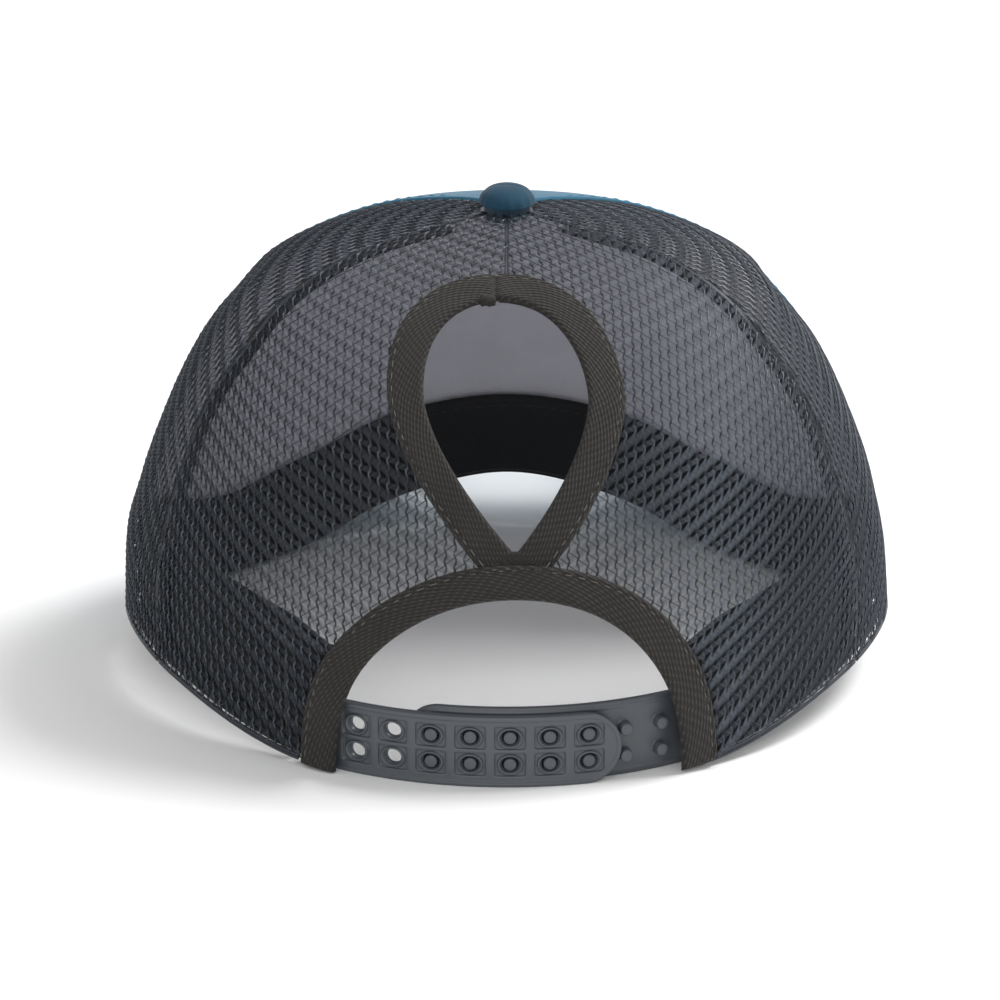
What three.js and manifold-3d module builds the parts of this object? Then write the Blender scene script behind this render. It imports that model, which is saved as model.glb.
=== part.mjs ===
// Trucker cap with a ponytail opening, millimetres, +Z up, back towards -Y, peak towards +Y
import * as THREE from "three";
import { mergeVertices } from "three/addons/utils/BufferGeometryUtils.js";
import Module from "manifold-3d";

const wasm = await Module();
wasm.setup();

// Gap between pieces that touch on the real cap, wider where both bend in facets of their own
const GAP = 0.3;
const EDGE_GAP = 0.45;
const TAPE_EDGE_GAP = 0.63;
const LAYER_GAP = 0.6;
const BAND_GAP = 0.9;
const SEAM_TAPE_GAP = 0.75;
const FRONT_SEAM_GAP = 1.0;

// Crown: one row for each level from the rim (0) to the button (1).
// half is the reach to each side, back and front are the reaches to -Y and +Y,
// and each reach has the height at which the level passes there.
const CROWN_ROWS = [
  { level: 0.00, half: 92.0, sideZ: 0.0, back: 86.0, backZ: 0.0, front: 88.0, frontZ: 0.0 },
  { level: 0.14, half: 91.0, sideZ: 29.0, back: 84.5, backZ: 18.0, front: 81.5, frontZ: 31.0 },
  { level: 0.30, half: 87.5, sideZ: 45.0, back: 81.0, backZ: 37.0, front: 75.0, frontZ: 48.0 },
  { level: 0.44, half: 82.5, sideZ: 59.0, back: 75.5, backZ: 54.0, front: 67.5, frontZ: 63.0 },
  { level: 0.57, half: 76.5, sideZ: 72.5, back: 67.0, backZ: 71.0, front: 59.5, frontZ: 77.0 },
  { level: 0.68, half: 69.0, sideZ: 85.0, back: 55.0, backZ: 86.5, front: 50.5, frontZ: 89.0 },
  { level: 0.78, half: 60.0, sideZ: 96.0, back: 41.0, backZ: 98.5, front: 41.0, frontZ: 99.5 },
  { level: 0.87, half: 42.0, sideZ: 105.0, back: 26.0, backZ: 106.5, front: 28.0, frontZ: 107.0 },
  { level: 0.94, half: 18.0, sideZ: 110.0, back: 13.0, backZ: 110.3, front: 14.5, frontZ: 110.4 },
  { level: 1.00, half: 0.0, sideZ: 112.0, back: 0.0, backZ: 112.0, front: 0.0, frontZ: 112.0 },
];
// How square each level is in plan: 2 is an ellipse
const SQUARENESS_RIM = 1.88;
const SQUARENESS_SHOULDER = 2.2;
const SHOULDER_LEVEL = 0.6;
// The rim is not flat: angle in degrees from the back, height above the ground.
// The first and last rows mirror their neighbours, so that it runs level at the back and front.
const RIM_ROWS = [
  { angle: -30, height: 1.0 },
  { angle: 0, height: 0.0 },
  { angle: 30, height: 1.0 },
  { angle: 60, height: 10.0 },
  { angle: 85, height: 13.0 },
  { angle: 105, height: 8.0 },
  { angle: 125, height: 1.2 },
  { angle: 145, height: 1.5 },
  { angle: 162, height: 10.0 },
  { angle: 180, height: 15.0 },
  { angle: 198, height: 10.0 },
];
const RIM_FADE_LEVEL = 0.3;
// Soft dents beside the shoulder seams: where, how far they reach and how deep
const DENTS = [
  { angle: -98, level: 0.745, angleReach: 13, levelReach: 0.055, depth: 2.2 },
  { angle: 100, level: 0.72, angleReach: 12, levelReach: 0.06, depth: 2.6 },
  { angle: 92, level: 0.16, angleReach: 12, levelReach: 0.12, depth: 1.2 },
];
// Panels end on a small circle under the button
const TOP_LEVEL = 0.98;
// Seams run from the rim to the button: angle in degrees from the back
const BACK_SEAM_ROWS = [
  { level: 0.0, angle: 65 },
  { level: 0.57, angle: 64 },
  { level: 0.78, angle: 56 },
  { level: 1.0, angle: 54 },
];
const FRONT_SEAM_ROWS = [
  { level: 0.0, angle: 100 },
  { level: 0.3, angle: 102.5 },
  { level: 0.5, angle: 106 },
  { level: 0.7, angle: 114 },
  { level: 0.86, angle: 136 },
  { level: 1.0, angle: 144 },
];

// Cloth thicknesses and the depths at which the inner layers lie
const NET_THICKNESS = 1.2;
const FRONT_THICKNESS = 1.6;
const TAPE_THICKNESS = 2.4;
const LINING_THICKNESS = 1.0;
const SEAM_TAPE_THICKNESS = 1.0;
const SWEATBAND_THICKNESS = 1.2;
const LINING_DEPTH = FRONT_THICKNESS / 2 + LAYER_GAP;
const SEAM_TAPE_DEPTH = NET_THICKNESS / 2 + SEAM_TAPE_GAP;
const SWEATBAND_DEPTH = LINING_DEPTH + LINING_THICKNESS + BAND_GAP;
const LINING_INSET_ANGLE = 0.5;

// Ponytail opening on the back, in pattern measures: across and up along the cloth
const DROP_HALF_WIDTH = 18.6;
const DROP_WIDEST_HEIGHT = 90;
const DROP_BOTTOM_HEIGHT = 54.2;
const DROP_TOP_HEIGHT = 116.3;
const DROP_TAPER = 1.62;
const DROP_TAPE_WIDTH = 8.4;
const DROP_POINT_HALF_WIDTH = 0.7;
// Arch over the strap
const ARCH_HALF_WIDTH = 39.4;
const ARCH_HEIGHT = 44;
const ARCH_SQUARENESS = 2.1;
const ARCH_TAPE_WIDTH = 8.0;
// The openings lean a little: sideways shift by height along the cloth
const LEAN_ROWS = [
  { height: 0, shift: 0.4 },
  { height: 25, shift: 0.6 },
  { height: 50, shift: 1.9 },
  { height: 85, shift: 0.1 },
  { height: 118, shift: -1.8 },
  { height: 140, shift: 0 },
];

// Sweatband and seam tape
const SWEATBAND_START_ANGLE = 33.5;
// Above the strap its ends slant towards the arch
const SWEATBAND_SLANT_ANGLE = 6;
const SWEATBAND_SLANT_SHARE = 0.66;
// Its lower and upper edges: angle in degrees from the back, lengths of cloth up from the rim
const SWEATBAND_EDGES = [
  { angle: 27, low: 0.8, top: 28.5 },
  { angle: 36, low: 0.8, top: 33.0 },
  { angle: 60, low: 0.8, top: 31.0 },
  { angle: 95, low: 0.8, top: 26.0 },
  { angle: 125, low: 0.8, top: 22.5 },
  { angle: 143, low: 1.5, top: 27.0 },
  { angle: 160, low: 3.0, top: 28.5 },
  { angle: 200, low: 3.0, top: 28.5 },
];
const SEAM_TAPE_WIDTH = 7;
const SEAM_TAPE_SHIFT = 1.5;
const SEAM_TAPE_START_LEVEL = 0.03;
const SEAM_TAPE_END_LEVEL = 0.95;
const SEAM_TAPE_WIDEST_ANGLE = 12;

// Button on top
const BUTTON_RADIUS = 6.7;
const BUTTON_HEIGHT = 4.4;
const BUTTON_BASE_Z = 113.1;
const BUTTON_FULLNESS = 0.75;
const BUTTON_STEM_RADIUS = 2.6;
const BUTTON_STEM_LENGTH = 3.6;

// Peak
const PEAK_THICKNESS = 3;
const PEAK_ROOT_HALF_ANGLE = 57;
const PEAK_EDGE_HALF_ANGLE = 88;
const PEAK_HALF_WIDTH = 82;
const PEAK_EDGE_CENTER_Y = 52;
const PEAK_EDGE_REACH = 106;
const PEAK_CREST = 19;

// Snap strap, bent round an upright cylinder behind the arch
const STRAP_RADIUS = 75.8;
const STRAP_CENTER_Y = -9.0;
const STRAP_THICKNESS = 2.2;
const STRAP_HEIGHT = 17;
const PEG_STRAP_HEIGHT = 18.2;
const PEG_STRAP_THICKNESS = 1.8;
const STRAP_END_ARC = 49;
const SNAP_COLUMNS = 7;
const SNAP_PITCH = 9.15;
const FIRST_HOLE_ARC = -35.9;
const FIRST_PEG_COLUMN = 2;
const SNAP_END_MARGIN = 7.7;
const SNAP_ROW_HEIGHTS = [5.4, 11.9];
const HOLE_RADIUS = 2.2;
const HOLE_RIM_RADIUS = 2.65;
const PEG_RADIUS = 1.5;
const PEG_RECESS = 0.35;
const POCKET_WIDTH = 7.0;
const POCKET_HEIGHT = 5.5;
const POCKET_DEPTH = 0.5;
const FLANGE_WIDTH = 1.1;
const FLANGE_DEPTH = 0.35;
// A boss starts this far inside the wall it stands on, and a cutter reaches this far past a face
const JOIN_DEPTH = 0.5;
const CUT_MARGIN = 2;

// How finely the pieces are divided
const FRONT_COLUMNS = 19;
const BACK_COLUMNS = 10;
const SIDE_COLUMNS = 5;
const SWEATBAND_ROWS = 4;
const SWEATBAND_COLUMNS = 41;
const SEAM_TAPE_ROWS = 20;
const TAPE_ROWS = 3;
const ARCH_POINTS = 29;
const DROP_TAPER_POINTS = 12;
const DROP_ROUND_POINTS = 19;
const DROP_FOOT_POINTS = 5;
const PEAK_ROWS = 6;
const PEAK_COLUMNS = 23;
const BUTTON_ROWS = 6;
const BUTTON_SIDES = 16;
const HOLE_SIDES = 8;
const PEG_SIDES = 10;
const STRAP_END_SIDES = 24;
const STRAP_BAND_SEGMENTS = 12;
// Steps in degrees and levels between the points that a direction or a length is taken from
const ANGLE_STEP = 0.5;
const LEVEL_STEP = 0.004;
const LENGTH_STEP = 0.002;
const MERGE_DISTANCE = 1e-4;

const RADIANS = Math.PI / 180;

const SURFACES = {
  net: { color: 0x3c414b, roughness: 0.6 },
  front: { color: 0x2a5f78, roughness: 0.85 },
  lining: { color: 0x787880, roughness: 0.95 },
  tape: { color: 0x3c3a37, roughness: 0.9 },
  sweatband: { color: 0x101113, roughness: 0.95 },
  strap: { color: 0x575c63, roughness: 0.5 },
};

/** The fabric or plastic surface of a name. */
function surface(name) {
  return new THREE.MeshStandardMaterial({ ...SURFACES[name], metalness: 0 });
}

/** The value of one column of a table at a place along another, by a smooth curve through the rows. */
function along(rows, key, at, column) {
  const last = rows.length - 1;
  let row = 0;
  while (row < last - 1 && at >= rows[row + 1][key]) {
    row += 1;
  }
  const slope = (index) => {
    const before = rows[Math.max(index - 1, 0)];
    const after = rows[Math.min(index + 1, last)];
    return (after[column] - before[column]) / (after[key] - before[key]);
  };
  const from = rows[row];
  const to = rows[row + 1];
  const span = to[key] - from[key];
  const u = (at - from[key]) / span;
  const rise = from[column] * (2 * u ** 3 - 3 * u ** 2 + 1) + to[column] * (3 * u ** 2 - 2 * u ** 3);
  return rise + span * (slope(row) * (u ** 3 - 2 * u ** 2 + u) + slope(row + 1) * (u ** 3 - u ** 2));
}

/** Height of the rim above the level table, at an angle from the back. */
function rimHeight(angle) {
  const turn = Math.abs(angle % 360);
  return along(RIM_ROWS, "angle", turn > 180 ? 360 - turn : turn, "height");
}

/** How square the crown is in plan at a level. */
function squareness(level) {
  const share = Math.min(level / SHOULDER_LEVEL, 1);
  return SQUARENESS_RIM + (SQUARENESS_SHOULDER - SQUARENESS_RIM) * share;
}

/** Sum of the soft dents at a place. */
function dentDepth(angle, level) {
  const turn = angle > 180 ? angle - 360 : angle;
  let depth = 0;
  for (const dent of DENTS) {
    const a = (turn - dent.angle) / dent.angleReach;
    const b = (level - dent.level) / dent.levelReach;
    depth += dent.depth * Math.exp(-a * a - b * b);
  }
  return depth;
}

/** Point of the crown's middle surface: angle in degrees from the back towards +X, level from the rim. */
function crownPoint(angle, level) {
  const power = squareness(level);
  const sine = Math.sin(angle * RADIANS);
  const cosine = Math.cos(angle * RADIANS);
  const scale = (Math.abs(sine) ** power + Math.abs(cosine) ** power) ** (-1 / power);
  const across = sine * scale;
  const ahead = -cosine * scale;
  const dent = dentDepth(angle, level);
  const half = along(CROWN_ROWS, "level", level, "half") - dent;
  const reach = along(CROWN_ROWS, "level", level, ahead < 0 ? "back" : "front");
  const reachZ = along(CROWN_ROWS, "level", level, ahead < 0 ? "backZ" : "frontZ");
  const sideZ = along(CROWN_ROWS, "level", level, "sideZ");
  const fade = Math.max(1 - level / RIM_FADE_LEVEL, 0) ** 2;
  const z = sideZ + (reachZ - sideZ) * ahead * ahead + rimHeight(angle) * fade;
  return new THREE.Vector3(half * across, reach * ahead, z);
}

/** Point at a distance outside the crown's middle surface, measured square to it. */
function crownOffset(angle, level, distance) {
  const low = Math.max(level - LEVEL_STEP, 0);
  const high = Math.min(level + LEVEL_STEP, 1);
  const up = crownPoint(angle, high).sub(crownPoint(angle, low));
  const round = crownPoint(angle + ANGLE_STEP, level).sub(crownPoint(angle - ANGLE_STEP, level));
  const outward = round.cross(up).normalize();
  return crownPoint(angle, level).addScaledVector(outward, distance);
}

/** Level reached from the rim at an angle after a length of cloth. */
function levelAfter(angle, start, length) {
  let level = start;
  let left = length;
  let here = crownPoint(angle, level);
  while (left > 0 && level < TOP_LEVEL) {
    const next = crownPoint(angle, level + LENGTH_STEP);
    left -= next.distanceTo(here);
    level += LENGTH_STEP;
    here = next;
  }
  return level;
}

/** Angle at which the back of the crown reaches x at a level. */
function angleAtX(x, level) {
  const power = squareness(level);
  const across = Math.min(Math.abs(x) / along(CROWN_ROWS, "level", level, "half"), 1);
  const behind = (1 - across ** power) ** (1 / power);
  return Math.sign(x) * Math.atan2(across, behind) / RADIANS;
}

/** Place on the crown for pattern measures on the back: across from the leaning middle, and up. */
function backPlace(across, height) {
  const level = levelAfter(0, 0, height);
  const x = across + along(LEAN_ROWS, "height", height, "shift");
  return { angle: angleAtX(x, level), level };
}

/** Closed solid between two equal grids of points. A ring's columns close on themselves. */
function gridSolid(outer, inner, ring = false) {
  const rows = outer.length;
  const columns = outer[0].length;
  const positions = [];
  for (const grid of [outer, inner]) {
    for (const point of grid.flat()) {
      positions.push(point.x, point.y, point.z);
    }
  }
  const index = [];
  const at = (row, column) => row * columns + (column % columns);
  const under = rows * columns;
  const quad = (a, b, c, d) => index.push(a, b, c, a, c, d);
  const spans = ring ? columns : columns - 1;
  for (let row = 0; row < rows - 1; row += 1) {
    for (let column = 0; column < spans; column += 1) {
      const corners = [at(row, column), at(row, column + 1), at(row + 1, column + 1), at(row + 1, column)];
      quad(...corners);
      quad(...corners.map((corner) => corner + under).reverse());
    }
    if (!ring) {
      const end = columns - 1;
      quad(at(row, 0), at(row + 1, 0), at(row + 1, 0) + under, at(row, 0) + under);
      quad(at(row, end), at(row, end) + under, at(row + 1, end) + under, at(row + 1, end));
    }
  }
  const top = rows - 1;
  for (let column = 0; column < spans; column += 1) {
    quad(at(0, column), at(0, column) + under, at(0, column + 1) + under, at(0, column + 1));
    quad(at(top, column), at(top, column + 1), at(top, column + 1) + under, at(top, column) + under);
  }
  const geometry = new THREE.BufferGeometry();
  geometry.setAttribute("position", new THREE.Float32BufferAttribute(positions, 3));
  geometry.setIndex(signedVolume(positions, index) < 0 ? index.reverse() : index);
  geometry.computeVertexNormals();
  return geometry;
}

/** Volume enclosed by triangles, negative where they face inward. */
function signedVolume(positions, index) {
  const corner = (i) => new THREE.Vector3().fromArray(positions, 3 * index[i]);
  let volume = 0;
  for (let i = 0; i < index.length; i += 3) {
    volume += corner(i).dot(corner(i + 1).cross(corner(i + 2))) / 6;
  }
  return volume;
}

/** Cloth laid on the crown: a grid of places between an outer and an inner distance. */
function clothSolid(places, outerDistance, innerDistance, ring = false) {
  const lay = (distance) =>
    places.map((row) => row.map((place) => crownOffset(place.angle, place.level, distance)));
  return gridSolid(lay(outerDistance), lay(innerDistance), ring);
}

/** Evenly spaced numbers from first to last. */
function spread(first, last, count) {
  return Array.from({ length: count }, (_, i) => first + ((last - first) * i) / (count - 1));
}

/** Half a gap at a level, as an angle round the crown. */
function gapAngle(level, gap = EDGE_GAP) {
  const radius = along(CROWN_ROWS, "level", level, "half");
  return gap / 2 / radius / RADIANS;
}

/** Moves a pattern outline outward by a distance. The outline runs from the right to the left. */
function offsetOutline(points, distance) {
  return points.map((point, i) => {
    const before = points[Math.max(i - 1, 0)];
    const after = points[Math.min(i + 1, points.length - 1)];
    const run = new THREE.Vector2().subVectors(after, before).normalize();
    return new THREE.Vector2(point.x + run.y * distance, point.y - run.x * distance);
  });
}

/** Half width of a symmetric outline at a height, from its right half. */
function halfWidthAt(outline, height) {
  for (let i = 0; i < outline.length - 1; i += 1) {
    const a = outline[i];
    const b = outline[i + 1];
    if (a.x >= 0 && b.x >= 0 && (a.y - height) * (b.y - height) <= 0 && a.y !== b.y) {
      return a.x + ((b.x - a.x) * (height - a.y)) / (b.y - a.y);
    }
  }
  return 0;
}

/** Inner edge of the arch binding, from the foot of the right leg over the top to the left. */
function archOutline() {
  const power = 2 / ARCH_SQUARENESS;
  return spread(0, 180, ARCH_POINTS).map((turn) => {
    const cosine = Math.cos(turn * RADIANS);
    const sine = Math.sin(turn * RADIANS);
    const x = ARCH_HALF_WIDTH * Math.sign(cosine) * Math.abs(cosine) ** power;
    return new THREE.Vector2(turn === 90 ? 0 : x, ARCH_HEIGHT * Math.max(sine, 0) ** power);
  });
}

/** Inner edge of the ponytail binding, from the point at the foot up the right side and down the left. */
function dropOutline() {
  const drop = DROP_WIDEST_HEIGHT - DROP_BOTTOM_HEIGHT;
  const rise = DROP_TOP_HEIGHT - DROP_WIDEST_HEIGHT;
  const foot = (1 - DROP_POINT_HALF_WIDTH / DROP_HALF_WIDTH) ** (1 / DROP_TAPER);
  const right = spread(foot, 0, DROP_TAPER_POINTS).map((share) => new THREE.Vector2(
    DROP_HALF_WIDTH * (1 - share ** DROP_TAPER),
    DROP_WIDEST_HEIGHT - drop * share,
  ));
  const round = spread(0, 180, DROP_ROUND_POINTS).slice(1, -1).map((turn) => new THREE.Vector2(
    DROP_HALF_WIDTH * Math.cos(turn * RADIANS),
    DROP_WIDEST_HEIGHT + rise * Math.sin(turn * RADIANS),
  ));
  const left = right.map((point) => new THREE.Vector2(-point.x, point.y)).reverse();
  return [...right, ...round, ...left];
}

/** Keeps both feet of an outline on the rim. */
function footed(points) {
  const last = points.length - 1;
  return points.map((point, i) => (i === 0 || i === last ? point.clone().setY(0) : point));
}

const archInner = archOutline();
const archOuter = footed(offsetOutline(archInner, ARCH_TAPE_WIDTH));
const archClear = footed(offsetOutline(archInner, ARCH_TAPE_WIDTH + TAPE_EDGE_GAP));
const dropInner = dropOutline();
const dropOuter = offsetOutline(dropInner, DROP_TAPE_WIDTH);
const dropClear = offsetOutline(dropInner, DROP_TAPE_WIDTH + TAPE_EDGE_GAP);
// The net panels bend at the same levels, taken from heights along the middle of the back
const PANEL_HEIGHTS = [
  0, 10, 20, 28, 34, 39, 43, 46, 48.5, 50.2, 51.4, 52.4, 58, 66, 76, 86, 96, 104, 111, 116.5,
  120.5, 123, 124.6, 125.4, 129, 134, 138,
];
const PANEL_LEVELS = [...PANEL_HEIGHTS.map((height) => levelAfter(0, 0, height)), TOP_LEVEL];
// The front panel and its lining bend at some of the same levels, so that the seams match
const FRONT_HEIGHTS = [
  0, 10, 20, 28, 39, 48.5, 58, 66, 76, 86, 96, 104, 111, 116.5, 123, 129, 138,
];
const FRONT_LEVELS = [...FRONT_HEIGHTS.map((height) => levelAfter(0, 0, height)), TOP_LEVEL];

/** Height of the arch binding's outer edge at a distance across. */
function archTopAt(across) {
  const flipped = archOuter.map((point) => new THREE.Vector2(point.y, point.x));
  return halfWidthAt(flipped, across);
}

/** Where a back panel's inner edge runs: beside the arch, beside the drop, then along the middle seam. */
function backPanelEdge(height) {
  const arch = halfWidthAt(archClear, height);
  const drop = height > DROP_BOTTOM_HEIGHT - DROP_TAPE_WIDTH ? halfWidthAt(dropClear, height) : 0;
  return Math.max(arch, drop, EDGE_GAP / 2);
}

/** One net panel of the back, from the side seam to the openings and the middle seam. */
function backPanel(side) {
  const places = PANEL_LEVELS.map((level, row) => {
    const height = PANEL_HEIGHTS[row];
    const inner = height === undefined
      ? side * gapAngle(level)
      : backPlace(side * backPanelEdge(height), height).angle;
    const seam = side * (along(BACK_SEAM_ROWS, "level", level, "angle") - gapAngle(level));
    return spread(seam, inner, BACK_COLUMNS).map((angle) => ({ angle, level }));
  });
  return clothSolid(places, NET_THICKNESS / 2, -NET_THICKNESS / 2);
}

/** One net panel of the side, between the back seam and the front seam. */
function sidePanel(side) {
  const places = PANEL_LEVELS.map((level) => {
    const from = along(BACK_SEAM_ROWS, "level", level, "angle") + gapAngle(level);
    const to = along(FRONT_SEAM_ROWS, "level", level, "angle") - gapAngle(level, FRONT_SEAM_GAP);
    return spread(side * from, side * to, SIDE_COLUMNS).map((angle) => ({ angle, level }));
  });
  return clothSolid(places, NET_THICKNESS / 2, -NET_THICKNESS / 2);
}

/** Places between the two front seams, each edge held in by an angle. */
function frontPlaces(levels, inset) {
  return levels.map((level) => {
    const from = along(FRONT_SEAM_ROWS, "level", level, "angle") + gapAngle(level) + inset;
    return spread(from, 360 - from, FRONT_COLUMNS).map((angle) => ({ angle, level }));
  });
}

/** The firm cloth panel over the forehead. */
function frontPanel() {
  const places = frontPlaces(FRONT_LEVELS, 0);
  return clothSolid(places, FRONT_THICKNESS / 2, -FRONT_THICKNESS / 2);
}

/** The stiff lining behind the front panel. */
function frontLining() {
  const places = frontPlaces(FRONT_LEVELS.slice(1, -1), LINING_INSET_ANGLE);
  return clothSolid(places, -LINING_DEPTH, -LINING_DEPTH - LINING_THICKNESS);
}

/** The soft band inside the rim, from one leg of the arch round the front to the other. */
function sweatband() {
  const places = spread(0, 1, SWEATBAND_ROWS).map((share) => {
    const slant = Math.max((share - SWEATBAND_SLANT_SHARE) / (1 - SWEATBAND_SLANT_SHARE), 0);
    const start = SWEATBAND_START_ANGLE - SWEATBAND_SLANT_ANGLE * slant;
    return spread(start, 360 - start, SWEATBAND_COLUMNS).map((angle) => {
      const turn = Math.min(angle, 360 - angle);
      const low = along(SWEATBAND_EDGES, "angle", turn, "low");
      const top = along(SWEATBAND_EDGES, "angle", turn, "top");
      return { angle, level: levelAfter(angle, 0, low + (top - low) * share) };
    });
  });
  return clothSolid(places, -SWEATBAND_DEPTH, -SWEATBAND_DEPTH - SWEATBAND_THICKNESS);
}

/** Tape inside a back seam, from the rim to near the button. */
function seamTape(side) {
  const levels = spread(SEAM_TAPE_START_LEVEL, SEAM_TAPE_END_LEVEL, SEAM_TAPE_ROWS);
  const places = levels.map((level) => {
    const radius = along(CROWN_ROWS, "level", level, "half");
    const middle = along(BACK_SEAM_ROWS, "level", level, "angle") + SEAM_TAPE_SHIFT / radius / RADIANS;
    const reach = Math.min(SEAM_TAPE_WIDTH / 2 / radius / RADIANS, SEAM_TAPE_WIDEST_ANGLE);
    const angles = spread(side * (middle - reach), side * (middle + reach), TAPE_ROWS);
    return angles.map((angle) => ({ angle, level }));
  });
  return clothSolid(places, -SEAM_TAPE_DEPTH, -SEAM_TAPE_DEPTH - SEAM_TAPE_THICKNESS);
}

/** Binding over the edge of the arch, standing on its two legs. */
function archBinding() {
  const places = spread(0, 1, TAPE_ROWS).map((share) =>
    archInner.map((point, i) => {
      const place = new THREE.Vector2().lerpVectors(point, archOuter[i], share);
      return backPlace(place.x, Math.max(place.y, 0));
    }));
  return clothSolid(places, TAPE_THICKNESS / 2, -TAPE_THICKNESS / 2);
}

/** Binding round the ponytail opening. Its foot ends on the top edge of the arch binding. */
function ponytailBinding() {
  const foot = spread(-1, 1, DROP_FOOT_POINTS + 2).slice(1, -1);
  const footHeight = dropInner[0].y;
  const inner = [
    ...foot.map((share) => new THREE.Vector2(share * DROP_POINT_HALF_WIDTH, footHeight)),
    ...dropInner,
  ];
  const outer = [
    ...foot.map((share) => new THREE.Vector2(share * DROP_TAPE_WIDTH, 0)),
    ...dropOuter,
  ].map((point) => {
    const across = Math.abs(point.x);
    const lowest = across < ARCH_HALF_WIDTH / 2 ? archTopAt(across) + GAP : 0;
    return new THREE.Vector2(point.x, Math.max(point.y, lowest));
  });
  const places = spread(0, 1, TAPE_ROWS).map((share) =>
    inner.map((point, i) => {
      const place = new THREE.Vector2().lerpVectors(point, outer[i], share);
      return backPlace(place.x, place.y);
    }));
  return clothSolid(places, TAPE_THICKNESS / 2, -TAPE_THICKNESS / 2, true);
}

/** Covered button with the stem that closes the top of the crown. */
function crownButton() {
  const profile = [
    new THREE.Vector2(0, -BUTTON_STEM_LENGTH),
    new THREE.Vector2(BUTTON_STEM_RADIUS, -BUTTON_STEM_LENGTH),
    new THREE.Vector2(BUTTON_STEM_RADIUS, 0),
  ];
  for (const turn of spread(0, 90, BUTTON_ROWS)) {
    const x = BUTTON_RADIUS * Math.cos(turn * RADIANS) ** BUTTON_FULLNESS;
    const y = BUTTON_HEIGHT * Math.sin(turn * RADIANS);
    profile.push(new THREE.Vector2(turn === 90 ? 0 : x, y));
  }
  const geometry = new THREE.LatheGeometry(profile, BUTTON_SIDES);
  geometry.rotateX(Math.PI / 2);
  geometry.translate(0, 0, BUTTON_BASE_Z);
  return geometry;
}

/** The curved peak, from the rim of the front panel to its own arched edge. */
function peak() {
  const clearance = FRONT_THICKNESS / 2 + EDGE_GAP;
  const columns = spread(-1, 1, PEAK_COLUMNS);
  const middle = spread(0, 1, PEAK_ROWS).map((share) =>
    columns.map((turn) => {
      const root = crownOffset(180 - turn * PEAK_ROOT_HALF_ANGLE, 0, clearance);
      root.z = rimHeight(180 - turn * PEAK_ROOT_HALF_ANGLE) + PEAK_THICKNESS / 2;
      const edgeTurn = turn * PEAK_EDGE_HALF_ANGLE * RADIANS;
      const edge = new THREE.Vector3(
        PEAK_HALF_WIDTH * Math.sin(edgeTurn),
        PEAK_EDGE_CENTER_Y + PEAK_EDGE_REACH * Math.cos(edgeTurn),
        PEAK_THICKNESS / 2 + PEAK_CREST * Math.cos(edgeTurn) ** 2,
      );
      return root.lerp(edge, share);
    }));
  const lift = (distance) =>
    middle.map((row) => row.map((point) => point.clone().setZ(point.z + distance)));
  return gridSolid(lift(PEAK_THICKNESS / 2), lift(-PEAK_THICKNESS / 2));
}

/** A closed geometry as a solid that can be joined and cut. */
function toSolid(geometry) {
  const bare = geometry.clone();
  bare.deleteAttribute("normal");
  bare.deleteAttribute("uv");
  const merged = mergeVertices(bare, MERGE_DISTANCE);
  return new wasm.Manifold(new wasm.Mesh({
    numProp: 3,
    vertProperties: new Float32Array(merged.attributes.position.array),
    triVerts: new Uint32Array(merged.index.array),
  }));
}

/** A joined or cut solid back as a geometry. */
function toGeometry(solid) {
  const mesh = solid.getMesh();
  const geometry = new THREE.BufferGeometry();
  geometry.setAttribute("position", new THREE.BufferAttribute(mesh.vertProperties, 3));
  geometry.setIndex(new THREE.BufferAttribute(mesh.triVerts, 1));
  geometry.computeVertexNormals();
  return geometry;
}

/** Moves a geometry built at the origin, facing -Y, to a place on the strap's cylinder. */
function onStrap(geometry, arc, height) {
  const placed = geometry.clone();
  placed.rotateZ(arc / STRAP_RADIUS);
  placed.translate(0, STRAP_CENTER_Y, height);
  return placed;
}

/** A round bar along the strap's radius, between two radii, at a place on the strap. */
function strapBar(radius, innerRadius, outerRadius, arc, height, sides) {
  const bar = new THREE.CylinderGeometry(radius, radius, outerRadius - innerRadius, sides);
  bar.translate(0, -(outerRadius + innerRadius) / 2, 0);
  return toSolid(onStrap(bar, arc, height));
}

/** A square block along the strap's radius, between two radii, at a place on the strap. */
function strapBlock(width, blockHeight, innerRadius, outerRadius, arc, height) {
  const block = new THREE.BoxGeometry(width, outerRadius - innerRadius, blockHeight);
  block.translate(0, -(outerRadius + innerRadius) / 2, 0);
  return toSolid(onStrap(block, arc, height));
}

/** A band of the strap's cylinder between two radii, two arcs and two heights. */
function strapBand(innerRadius, outerRadius, fromArc, toArc, low, high) {
  const turn = (arc) => arc / STRAP_RADIUS - Math.PI / 2;
  const shape = new THREE.Shape();
  shape.absarc(0, 0, outerRadius, turn(fromArc), turn(toArc), false);
  shape.absarc(0, 0, innerRadius, turn(toArc), turn(fromArc), true);
  const band = new THREE.ExtrudeGeometry(shape, {
    depth: high - low,
    bevelEnabled: false,
    curveSegments: STRAP_BAND_SEGMENTS,
  });
  band.translate(0, STRAP_CENTER_Y, low);
  return toSolid(band);
}

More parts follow.
